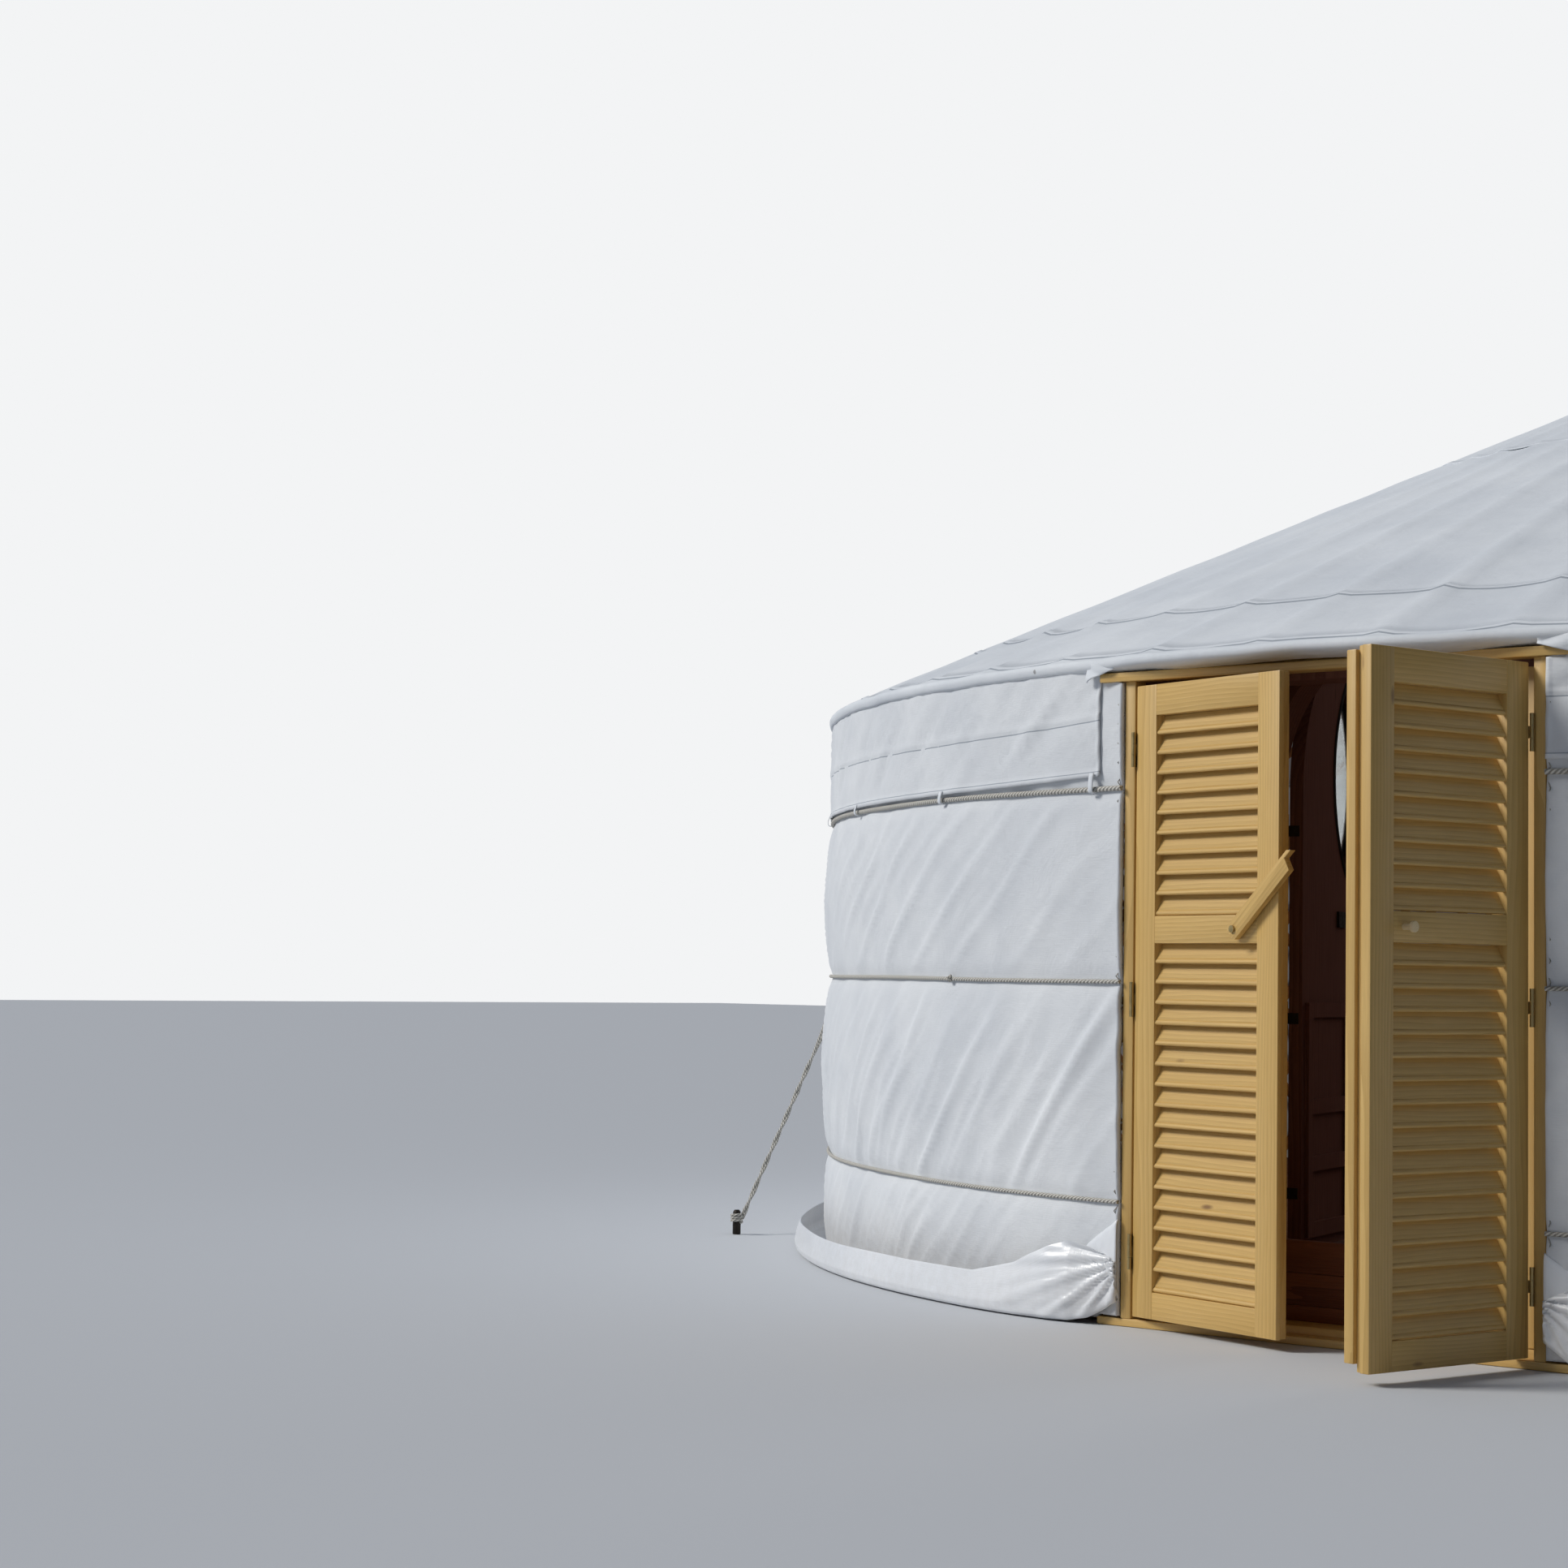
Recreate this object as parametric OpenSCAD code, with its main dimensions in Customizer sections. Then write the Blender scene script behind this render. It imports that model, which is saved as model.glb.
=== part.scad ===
// Round felt tent with a lattice wall, a pole roof and louvred double doors.
// Millimetres. The ground is z = 0, the tent's centre is x = y = 0 and the door faces -Y.

/* [Wall] */
// Outer radius of the wall cover
wall_r = 3600; // [3000:20:4500]
// Thickness of the wall's felt and canvas together
cover_t = 25; // [15:1:40]
// Gap between the wall cover's hem and the ground
hem_gap = 15; // [5:1:40]
// Number of flat panels that the lattice wall is made of
lattice_panels = 24; // [16:4:32]
// Width of one lattice bar
bar_w = 36; // [24:1:50]
// Thickness of one lattice bar
bar_t = 14; // [8:1:20]
// Bars of one direction that start along one panel's foot
bars_per_panel = 3; // [2:1:4]
// Angle of the lattice bars above the ground
bar_tilt = 50; // [40:1:60]

/* [Roof] */
// Height of the roof's edge above the ground
eave_z = 1877; // [1870:1:2080]
// How far the roof's edge stands out from the wall
eave_over = 8; // [4:1:30]
// Slope of the roof above level
roof_tilt = 23.2; // [18:0.1:30]
// Thickness of the roof's felt and canvas together
roof_t = 25; // [15:1:40]
// Number of roof poles
poles = 60; // [36:4:84]
// Diameter of a roof pole
pole_d = 38; // [28:1:50]
// Outer radius of the crown ring
crown_r = 740; // [500:10:1000]
// Width of the crown ring's wood across the ring
crown_w = 75; // [50:5:120]
// Height of the crown ring's wood
crown_h = 130; // [80:5:180]
// Number of crown spokes
spokes = 8; // [4:2:12]
// Radius of the cloth cap over the crown
cap_r = 1570; // [1100:10:2200]
// Thickness of the cloth cap
cap_t = 8; // [5:1:15]

/* [Valance and skirt] */
// Height of the valance's hem above the ground
valance_z = 1537; // [1450:1:1700]
// Thickness of the valance
valance_t = 8; // [4:1:15]
// Width of the skirt that lies on the ground
skirt_w = 100; // [80:5:260]
// Height of the skirt's upturned edge
skirt_h = 105; // [60:5:160]
// Height at which the skirt's gathered ends reach the posts
skirt_end_h = 300; // [200:5:340]
// Thickness of the skirt
skirt_t = 6; // [3:1:10]

/* [Ropes] */
// Diameter of the upper belt rope
upper_rope_d = 13; // [8:1:20]
// Diameter of the middle and lower belt ropes
belt_rope_d = 10; // [6:1:16]
// Height of the upper belt rope
upper_rope_z = 1513; // [1400:1:1528]
// Height of the middle belt rope
middle_rope_z = 965; // [800:1:1200]
// Height of the lower belt rope
lower_rope_z = 345; // [320:1:600]
// Direction of the front stakes, in degrees round from the door
stake_a = 57; // [45:1:65]
// Distance of the stakes from the wall
stake_out = 370; // [250:10:800]
// Height of a stake above the ground
stake_h = 90; // [70:5:200]
// Diameter of a stake
stake_d = 30; // [24:1:50]
// How far round the tent a guy rope's upper end stands from its stake, in degrees
guy_lean = 15; // [5:1:20]

/* [Door frame] */
// Width of the opening between the door posts
door_w = 1232; // [1000:4:1400]
// Height of the opening's top above the ground
door_top = 1815; // [1700:1:1820]
// Thickness of the frame's boards
board_t = 34; // [24:1:45]
// Depth of the door frame
frame_d = 160; // [120:5:200]
// Distance of the frame's front from the tent's centre
front_r = 3531; // [2920:1:4440]
// How far the head runs past the posts
head_over = 140; // [80:5:150]
// How far the front board and the sill run past the posts
front_over = 80; // [40:5:100]
// Height of the head behind the front board
head_h = 45; // [30:1:46]
// Height of the board on the front of the head
front_board_h = 26; // [20:1:30]
// How far the front board stands out
front_board_out = 15; // [5:1:25]
// Height of the sill's step in front of the door leaves
step_h = 22; // [16:1:25]
// Height of the sill behind the door leaves
sill_top = 44; // [36:1:60]

/* [Outer doors] */
// Gap round each door leaf
leaf_gap = 5; // [5:0.5:8]
// Height of the gap under the leaves
leaf_lift = 8; // [5:1:12]
// Height of the gap over the leaves
leaf_drop = 15; // [8:1:20]
// Thickness of a door leaf
leaf_t = 49; // [40:1:60]
// Width of the stiles
stile_w = 87; // [60:1:110]
// Height of the top rail
top_rail_h = 87; // [60:1:110]
// Height of the bottom rail
bottom_rail_h = 75; // [60:1:110]
// Height of the middle rail
middle_rail_h = 77; // [60:1:110]
// Height of the middle rail's centre
middle_rail_z = 1111; // [1000:1:1250]
// Louvre slats in the upper panel
upper_slats = 10; // [6:1:12]
// Louvre slats in the lower panel
lower_slats = 17; // [10:1:18]
// Thickness of a louvre slat
slat_t = 11; // [8:1:14]
// Lean of a louvre slat from upright
slat_lean = 30; // [15:1:30]
// How far the left leaf stands open
left_open = 17.35; // [0:0.05:100]
// How far the right leaf stands open
right_open = 79.4; // [0:0.1:110]
// Depth of the step along the left leaf's free edge
rebate_w = 15; // [8:1:25]
// Thickness of the left leaf's lip
lip_t = 18; // [12:1:28]
// Thickness of the strip behind the right leaf's free edge
strip_t = 30; // [15:1:36]
// Width of that strip
strip_w = 46; // [30:1:70]

/* [Latch] */
// Distance of the turn bar's screw from the leaf's hinge line
latch_s = 455; // [400:1:500]
// Distance of the peg from the right leaf's hinge line
peg_s = 491; // [440:1:540]
// Width of the turn bar
latch_w = 47; // [30:1:60]
// Width of the turn bar above its screw
latch_above = 20; // [14:1:24]
// How far the turn bar's heel reaches behind its screw
latch_heel = 20; // [15:1:40]
// Thickness of the turn bar
latch_t = 18; // [10:1:22]
// Angle of the turn bar above level
latch_up = 40; // [0:1:80]
// Diameter of the turn bar's screw
screw_d = 8; // [6:1:10]
// Diameter of the peg
peg_d = 16; // [12:1:22]

/* [Inner door] */
// Height of the inner door's springing, where its round head begins
arch_z = 1530; // [1400:5:1540]
// Width of the inner doorway
inner_w = 872; // [760:4:900]
// Distance of the inner frame's front from the tent's centre
inner_r = 3120; // [3000:10:3200]
// Depth of the inner frame
inner_frame_d = 100; // [60:5:140]
// Thickness of the inner door
inner_door_t = 40; // [30:1:50]
// Gap round the inner door
inner_gap = 6; // [5:0.5:10]
// How far the inner door stands open
inner_open = 103.5; // [0:0.5:118]
// Height of the high threshold board behind the sill
threshold_h = 262; // [200:1:280]
// Thickness of the threshold board
threshold_t = 36; // [24:1:45]
// Width of the pointed window
window_w = 270; // [180:5:330]
// Height of the pointed window
window_h = 608; // [400:4:640]
// Height of the window's centre
window_z = 1586; // [1500:2:1600]
// Height of the iron latch bar
latch_z = 1166; // [1050:2:1200]
// Height of the top rail of the inner door's lower panels
ledge_z = 890; // [700:5:960]

/* [Floor] */
// Height of the floor above the ground
floor_z = 170; // [120:5:190]
// Thickness of the floor boards
floor_t = 30; // [20:1:45]
// Width of a floor beam
beam_w = 70; // [50:5:120]
// Distance from one floor beam to the next
beam_step = 1000; // [600:20:1400]

/* [Hidden] */

honey = "#c98a3c";
dark_wood = "#6b3423";
canvas = "#e9e6df";
hemp = "#9a8f7d";
iron = "#26221f";
plated = "#a08a5c";

fit = 0.5;                                // clearance where wood sits against wood
clear = 3;                                // clearance between cloth and the frame under it
round_fn = 360;
eave_r = wall_r + eave_over;
stake_r = wall_r + stake_out;
roof_slope = tan(roof_tilt);
roof_drop = roof_t / cos(roof_tilt);      // the roof cover's thickness, measured upright
front_y = -front_r;
hinge_x = door_w / 2;
post_x = hinge_x + board_t;
head_x = post_x + head_over;
front_x = post_x + front_over;
head_top = door_top + head_h;
hinge_out = 7;                            // the hinge pins stand this far before the leaves
hinge_y = front_y - hinge_out;
stop_y = front_y + leaf_t + 2;            // the face that the shut leaves stop against
stop_h = 19;                              // how far the stop shows below the head
inner_y = front_y + frame_d;
leaf_w = hinge_x - 1.5 * leaf_gap;
leaf_z = step_h + leaf_lift;
leaf_top = door_top - leaf_drop;
leaf_h = leaf_top - leaf_z;
middle_low = middle_rail_z - middle_rail_h / 2;
middle_high = middle_rail_z + middle_rail_h / 2;
lattice_out = (wall_r - cover_t - clear) * cos(180 / lattice_panels);
lattice_t = 2 * bar_t - 2;
lattice_in = lattice_out - lattice_t;
door_a = asin((post_x + 8) / lattice_in);
panel_a = (360 - 2 * door_a) / lattice_panels;
panel_w = 2 * lattice_in * tan(panel_a / 2) - 5;
pole_r = pole_d / 2;
pole_drop = roof_drop + (clear + pole_r) / cos(roof_tilt);
pole_low = pole_drop + pole_r / cos(roof_tilt);
lattice_top = roof_z(lattice_out / cos(panel_a / 2)) - pole_low - fit;
floor_r = lattice_in - 8;
rope_a = asin((post_x + clear) / wall_r);
valance_a = asin((front_x + 12) / wall_r);
fan_a = 19;                               // the skirt's ends are gathered from here to the door
crown_top = roof_z(crown_r) - roof_drop - clear;
cover_in = crown_r - 20;                  // inner radius of the roof cover
dome_r = cover_in / sin(roof_tilt);       // the cap's dome carries on from the roof's slope
dome_z = roof_z(cover_in) + 1 - dome_r * cos(roof_tilt);
hub_r = 95;
hub_h = 80;
spoke_w = 32;
spoke_h = 60;
lining_t = 30;
panel_back = -inner_r + inner_frame_d;
inner_hinge_y = panel_back + hinge_out;
inner_sill_z = floor_z + 22;
inner_door_w = inner_w - 2 * inner_gap;
inner_door_z = inner_sill_z + 8;
window_r = (window_w * window_w + window_h * window_h) / (4 * window_w);
bar_off = 5;                              // gap between the leaf's face and the turn bar
peg_span = 2 * hinge_x - latch_s - peg_s; // from the turn bar's screw to the peg, doors shut

// Height of the roof's outer face at radius r
function roof_z(r) = eave_z + (eave_r - r) * roof_slope;

// Highest that a board between the posts may reach under the roof poles
function under_poles(y) = roof_z(-y / cos(door_a)) - pole_low - clear;

// A point a degrees clockwise from the door, seen from above
function spot(a, r, z) = [r * cos(-90 - a), r * sin(-90 - a), z];

// Places its children round the tent, a degrees clockwise from the door
module around(a) { rotate([0, 0, -90 - a]) children(); }

// A ring profile turned from a1 to a2 degrees clockwise from the door
module turned(a1, a2) {
    rotate([0, 0, -90 - a2]) rotate_extrude(angle = a2 - a1, $fn = round_fn) children();
}

// A box from corner p to corner q
module block(p, q) { translate(p) cube(q - p); }

module floor() {
    color(dark_wood) difference() {
        translate([0, 0, floor_z - floor_t]) cylinder(h = floor_t, r = floor_r, $fn = round_fn);
        block([-post_x - clear, -wall_r, 0], [post_x + clear, inner_y + threshold_t + fit, floor_z + 1]);
    }
}

module floor_beams() {
    count = floor((floor_r - beam_w) / beam_step);
    color(dark_wood) for (k = [-count : count]) {
        far = abs(k) * beam_step + beam_w / 2;
        reach = sqrt(floor_r * floor_r - far * far);
        block([-reach, k * beam_step - beam_w / 2, 0], [reach, k * beam_step + beam_w / 2, floor_z - floor_t]);
    }
}

// One direction of bars on a flat panel, clipped to the panel's outline
module bars_2d(tilt) {
    step = panel_w / bars_per_panel;
    reach = ceil(lattice_top / tan(bar_tilt) / step);
    intersection() {
        translate([-panel_w / 2, 0]) square([panel_w, lattice_top]);
        union() {
            for (k = [-reach : bars_per_panel + reach])
                translate([-panel_w / 2 + (k + 0.5) * step, 0])
                    rotate(tilt) translate([-lattice_top, -bar_w / 2])
                        square([3 * lattice_top, bar_w]);
        }
    }
}

module lattice_panel(i) {
    around(door_a + (i + 0.5) * panel_a)
        translate([lattice_in, 0, 0]) rotate([90, 0, 90]) {
            linear_extrude(bar_t) bars_2d(bar_tilt);
            translate([0, 0, bar_t - 2]) linear_extrude(bar_t) bars_2d(180 - bar_tilt);
        }
}

// A panel beside the door is notched for the head and the sill
module notched_panel(i) {
    difference() {
        lattice_panel(i);
        block([-head_x - fit, -wall_r, door_top - fit], [head_x + fit, inner_y, 2 * eave_z]);
        block([-front_x - fit, -wall_r, -1], [front_x + fit, inner_y, step_h + fit]);
    }
}

module lattice(quarter) {
    count = lattice_panels / 4;
    color(honey) for (i = [quarter * count : (quarter + 1) * count - 1])
        if (i == 0 || i == lattice_panels - 1) notched_panel(i); else lattice_panel(i);
}

// Where a pole's foot stands: on the head over the door, and elsewhere on the lattice
function pole_foot(a) =
    let (turn = min(a, 360 - a), off = (a - door_a) % panel_a - panel_a / 2)
    turn < door_a + 2 ? eave_r - (head_top + fit + pole_r * cos(roof_tilt) + pole_drop - eave_z) / roof_slope
                      : (lattice_out - 6) / cos(off);

// A roof pole from its foot to the crown ring, cut to the ring's outside
module pole(a) {
    foot = pole_foot(a);
    difference() {
        around(a) translate([foot, 0, roof_z(foot) - pole_drop]) rotate([0, roof_tilt - 90, 0])
            cylinder(h = (foot - crown_r + 30) / cos(roof_tilt), d = pole_d, $fn = 12);
        cylinder(h = 2 * eave_z, r = crown_r + fit, $fn = round_fn);
    }
}

module roof_poles(quarter) {
    color(honey) for (i = [0 : poles / 4 - 1]) pole((quarter * poles / 4 + i + 0.5) * 360 / poles);
}

// The crown: a ring, bowed spokes and a hub, all just under the cap's dome
module crown() {
    color(honey) union() {
        rotate_extrude($fn = round_fn)
            translate([crown_r - crown_w, crown_top - crown_h]) square([crown_w, crown_h]);
        for (i = [0 : spokes - 1]) rotate([0, 0, i * 360 / spokes]) crown_spoke();
        translate([0, 0, dome_z + dome_r - hub_h - 8]) cylinder(h = hub_h, r = hub_r, $fn = 48);
    }
}

// A spoke follows the dome from the ring to the hub
module crown_spoke() {
    span = crown_r - crown_w / 2;
    rotate([90, 0, 0]) translate([0, 0, -spoke_w / 2]) linear_extrude(spoke_w) intersection() {
        translate([0, dome_z]) difference() {
            circle(r = dome_r - 12, $fn = round_fn);
            circle(r = dome_r - 12 - spoke_h, $fn = round_fn);
        }
        translate([hub_r - 30, crown_top - crown_h]) square([span - hub_r + 30, dome_r]);
    }
}

// The wall cover stops beside the posts, under the front board's ends and over the sill's
module wall_cover(quarter) {
    start = asin(post_x / wall_r);
    part_a = (360 - 2 * start) / 4;
    joint = 0.01;
    top = roof_z(wall_r) - roof_drop - clear;
    color(canvas) difference() {
        turned(start + quarter * part_a + joint, start + (quarter + 1) * part_a - joint)
            translate([wall_r - cover_t, hem_gap]) square([cover_t, top - hem_gap]);
        if (quarter == 0 || quarter == 3) {
            block([-post_x - clear, -wall_r - 1, 0], [post_x + clear, 0, eave_z]);
            block([-front_x - clear, -wall_r - 1, door_top - clear], [front_x + clear, 0, eave_z]);
            block([-front_x - clear, -wall_r - 1, 0], [front_x + clear, 0, step_h + clear]);
        }
    }
}

module roof_cover(quarter) {
    color(canvas) turned(quarter * 90, (quarter + 1) * 90) polygon([
        [cover_in, roof_z(cover_in) - roof_drop], [eave_r, eave_z - roof_drop],
        [eave_r, eave_z], [cover_in, roof_z(cover_in)]]);
}

module valance() {
    top = eave_z - roof_drop - 1;
    color(canvas) turned(valance_a, 360 - valance_a)
        translate([wall_r + fit, valance_z]) square([valance_t - fit, top - valance_z]);
}

// The cap lies on the roof and domes over the crown
module crown_cap() {
    color(canvas) rotate_extrude($fn = round_fn) union() {
        polygon([[cover_in, roof_z(cover_in) + 1], [cap_r, roof_z(cap_r) + 1],
                 [cap_r, roof_z(cap_r) + cap_t], [cover_in, roof_z(cover_in) + cap_t]]);
        intersection() {
            translate([0, dome_z]) difference() {
                circle(r = dome_r + (cap_t - 1) * cos(roof_tilt), $fn = round_fn);
                circle(r = dome_r, $fn = round_fn);
            }
            translate([0, roof_z(cover_in) + 1]) square([cover_in, dome_r]);
        }
    }
}

module belt_rope(z, d) {
    color(hemp) turned(rope_a, 360 - rope_a) translate([wall_r + d / 2 + fit, z]) circle(d = d, $fn = 16);
}

// A rope along the line from p to q
module line_rope(p, q, d) {
    v = q - p;
    translate(p) rotate([0, acos(v[2] / norm(v)), atan2(v[1], v[0])])
        cylinder(h = norm(v), d = d, $fn = 16);
}

// Each stake's direction, and the way its ropes lean round the tent
stake_places = [[stake_a, 1], [180 - stake_a, -1], [180 + stake_a, 1], [360 - stake_a, -1]];

// Two ropes run from each stake up to the upper belt rope
module guy_ropes() {
    color(hemp) for (place = stake_places, k = [0, 1])
        line_rope(spot(place[0] + place[1] * (guy_lean + 4 * k),
                       wall_r + upper_rope_d + belt_rope_d, upper_rope_z),
                  spot(place[0] + 0.5 * place[1] * k, stake_r - stake_d / 2 - belt_rope_d / 2 - fit,
                       stake_h - 25 - 25 * k), belt_rope_d);
}

module stakes() {
    color(iron) for (place = stake_places)
        translate(spot(place[0], stake_r, 0)) cylinder(h = stake_h, d = stake_d, $fn = 24);
}

// Section of the skirt: sewn to the wall cover's hem, flat on the ground and turned up
module skirt_section() {
    out = wall_r + skirt_w;
    low = 2;
    polygon([[wall_r + fit, hem_gap], [wall_r + 40, low], [out, low], [out + 10, skirt_h],
             [out + 10 - skirt_t, skirt_h], [out - skirt_t, low + skirt_t],
             [wall_r + 40, low + skirt_t], [wall_r + fit, hem_gap + skirt_t]]);
}

// The skirt's end runs up from its turned edge to the post, as an upright sheet
module skirt_fan() {
    low_x = -(wall_r + skirt_w + 8) * sin(fan_a);
    low_y = -(wall_r + skirt_w + 8) * cos(fan_a);
    end_x = -post_x - 10;
    end_y = -sqrt(wall_r * wall_r - end_x * end_x) - 3;
    start = 12;                           // the sheet starts this far behind the turned edge
    intersection() {
        linear_extrude(skirt_end_h) polygon([
            [low_x - start, low_y + start], [end_x, end_y], [end_x, end_y - skirt_t],
            [low_x - start, low_y + start - skirt_t]]);
        along_y(-wall_r - skirt_w, 0) polygon([
            [low_x - start, 2], [end_x, 70], [end_x, skirt_end_h], [low_x - start, skirt_h - 3]]);
    }
}

module skirt() {
    color(canvas) union() {
        turned(fan_a, 360 - fan_a) skirt_section();
        skirt_fan();
        mirror([1, 0, 0]) skirt_fan();
    }
}

// The sill steps down in front of the leaves
module sill() {
    color(honey) union() {
        block([-front_x, front_y, 0], [front_x, stop_y, step_h]);
        sill_back();
    }
}

module sill_back() { block([-post_x, stop_y, 0], [post_x, inner_y, sill_top]); }

module threshold() {
    color(dark_wood) block([-hinge_x + lining_t + fit, inner_y, 0],
                           [hinge_x - lining_t - fit, inner_y + threshold_t, threshold_h]);
}

module post(side) {
    color(honey) difference() {
        translate([side * (hinge_x + board_t / 2) - board_t / 2, front_y, step_h])
            cube([board_t, frame_d, door_top - step_h]);
        sill_back();
    }
}

module head() {
    color(honey) block([-head_x, stop_y, door_top], [head_x, inner_y, head_top]);
}

module front_board() {
    color(honey) block([-front_x, front_y - front_board_out, door_top],
                       [front_x, stop_y, door_top + front_board_h]);
}

// An outline drawn with x to the right and z up, drawn out along y
module along_y(y1, y2) { translate([0, y2, 0]) rotate([90, 0, 0]) linear_extrude(y2 - y1) children(); }

// An outline drawn with y to the right and z up, drawn out along x
module along_x(x1, x2) { translate([x1, 0, 0]) rotate([90, 0, 90]) linear_extrude(x2 - x1) children(); }

// The board with the round-headed doorway, the linings that join it to the posts and the stop
module inner_frame() {
    high = under_poles(inner_y);
    back_high = under_poles(-inner_r);
    color(dark_wood) union() {
        block([-hinge_x + fit, stop_y, door_top - stop_h], [hinge_x - fit, inner_y + 20, door_top]);
        block([-hinge_x + fit, inner_y, door_top - stop_h], [hinge_x - fit, inner_y + 20, high - 10]);
        along_x(-hinge_x, hinge_x)
            polygon([[inner_y, high - 20], [-inner_r, back_high - 20], [-inner_r, back_high], [inner_y, high]]);
        for (side = [-1, 1])
            along_x(side * (hinge_x - lining_t / 2) - lining_t / 2, side * (hinge_x - lining_t / 2) + lining_t / 2)
                polygon([[inner_y, floor_z], [-inner_r, floor_z], [-inner_r, back_high], [inner_y, high]]);
        difference() {
            block([-hinge_x, -inner_r, floor_z], [hinge_x, panel_back, back_high]);
            translate([0, panel_back + 1, 0]) rotate([90, 0, 0]) linear_extrude(inner_frame_d + 2)
                arched(inner_w, inner_sill_z);
        }
    }
}

// A doorway's outline: straight sides from z = low and a round head
module arched(width, low) {
    translate([-width / 2, low]) square([width, arch_z - low]);
    intersection() {
        translate([0, arch_z]) circle(d = width, $fn = round_fn);
        translate([-width / 2, arch_z - 1]) square([width, width]);
    }
}

knuckle_h = 32;
knuckle_r = 6.5;
pin_r = 3;
plate_t = 2;
hinge_heights = [leaf_z + 180, leaf_z + leaf_h / 2, leaf_top - 180];
inner_hinge_heights = [inner_door_z + 160, (inner_door_z + arch_z) / 2, arch_z - 120];

// The frame's half of each hinge: pin, end knuckles and plates, with the leaf on the +x side
module frame_half(heights) {
    for (z = heights) translate([0, 0, z]) {
        cylinder(h = 3 * knuckle_h + 2, r = pin_r, center = true, $fn = 24);
        for (end = [-1, 1]) translate([0, 0, end * (knuckle_h + 1)]) {
            cylinder(h = knuckle_h, r = knuckle_r, center = true, $fn = 24);
            translate([0, 0, -knuckle_h / 2]) cube([plate_t, 36, knuckle_h]);
        }
    }
}

// The leaf's half of each hinge: its knuckle and plate
module leaf_half(heights, gap) {
    for (z = heights) translate([0, 0, z]) difference() {
        union() {
            cylinder(h = knuckle_h, r = knuckle_r, center = true, $fn = 24);
            translate([gap - plate_t - 0.1, 0, -knuckle_h / 2]) cube([plate_t, 36, knuckle_h]);
        }
        cylinder(h = knuckle_h + 2, r = pin_r + 0.05, center = true, $fn = 24);
    }
}

module frame_hinges() {
    color(plated) {
        translate([-hinge_x, hinge_y, 0]) frame_half(hinge_heights);
        translate([hinge_x, hinge_y, 0]) mirror([1, 0, 0]) frame_half(hinge_heights);
        translate([-inner_w / 2, inner_hinge_y, 0]) mirror([0, 1, 0]) frame_half(inner_hinge_heights);
    }
}

// Puts a leaf drawn from its hinge line into the doorway
module in_left() { translate([-hinge_x, hinge_y, 0]) rotate([0, 0, -left_open]) children(); }
module in_right() {
    translate([hinge_x, hinge_y, 0]) rotate([0, 0, right_open]) mirror([1, 0, 0]) children();
}
module in_inner() { translate([-inner_w / 2, inner_hinge_y, 0]) rotate([0, 0, inner_open]) children(); }

// Stiles and rails, with the outer face at y = hinge_out
module leaf_frame() {
    difference() {
        translate([leaf_gap, hinge_out, leaf_z]) cube([leaf_w, leaf_t, leaf_h]);
        translate([leaf_gap + stile_w, hinge_out - 1, leaf_z + bottom_rail_h])
            cube([leaf_w - 2 * stile_w, leaf_t + 2, middle_low - leaf_z - bottom_rail_h]);
        translate([leaf_gap + stile_w, hinge_out - 1, middle_high])
            cube([leaf_w - 2 * stile_w, leaf_t + 2, leaf_top - top_rail_h - middle_high]);
    }
}

module left_leaf() {
    color(honey) in_left() difference() {
        leaf_frame();
        translate([leaf_gap + leaf_w - rebate_w, hinge_out + lip_t, leaf_z - 1])
            cube([rebate_w + 1, leaf_t, leaf_h + 2]);
    }
}

// The right leaf has a groove along its free edge and a strip behind it
module right_leaf() {
    edge = leaf_gap + leaf_w;
    groove = 12;
    strip_gap = 6;                        // the strip passes over the sill and under the stop
    color(honey) in_right() union() {
        difference() {
            leaf_frame();
            translate([edge - groove, hinge_out + leaf_t - 19, leaf_z - 1]) cube([groove + 1, 20, leaf_h + 2]);
        }
        translate([edge - strip_w, hinge_out + leaf_t, sill_top + strip_gap])
            cube([strip_w, strip_t, door_top - stop_h - sill_top - 2 * strip_gap]);
    }
}

// One slat: its lower edge is rounded and its upper edge is tucked behind the slat above
module slat(length) {
    rotate([90, 0, 90]) linear_extrude(leaf_w - 2 * stile_w) rotate(90 - slat_lean) {
        translate([0, -slat_t / 2]) square([length, slat_t]);
        circle(d = slat_t, $fn = 24);
    }
}

// Slats between z1 and z2: the top one is cut short under its rail
module slats(z1, z2, count) {
    pitch = (z2 - z1) / count;
    full = (pitch + 2) / cos(slat_lean);
    short = (pitch - slat_t / 2 * (1 + sin(slat_lean)) - 1.5) / cos(slat_lean);
    for (i = [0 : count - 1])
        translate([leaf_gap + stile_w, hinge_out + 4 + slat_t / 2, z1 + i * pitch + slat_t / 2 + 1])
            slat(i < count - 1 ? full : short);
}

module louvres() {
    slats(leaf_z + bottom_rail_h, middle_low, lower_slats);
    slats(middle_high, leaf_top - top_rail_h, upper_slats);
}

module left_louvres() { color(honey) in_left() louvres(); }
module right_louvres() { color(honey) in_right() louvres(); }
module left_hinges() { color(plated) in_left() leaf_half(hinge_heights, leaf_gap); }
module right_hinges() { color(plated) in_right() leaf_half(hinge_heights, leaf_gap); }

// Children are drawn flat, x along the leaf and y up, and stand out from the leaf's face
module on_face(s, z) { translate([s, hinge_out, z]) rotate([90, 0, 0]) children(); }

module latch_screw() {
    color(plated) in_left() on_face(latch_s, middle_rail_z) {
        cylinder(h = bar_off + latch_t + 2, d = screw_d, $fn = 32);
        cylinder(h = bar_off - fit, d = 3 * screw_d, $fn = 32);
        translate([0, 0, bar_off + latch_t + 1]) cylinder(h = 5, d = 2.5 * screw_d, $fn = 32);
    }
}

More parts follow.
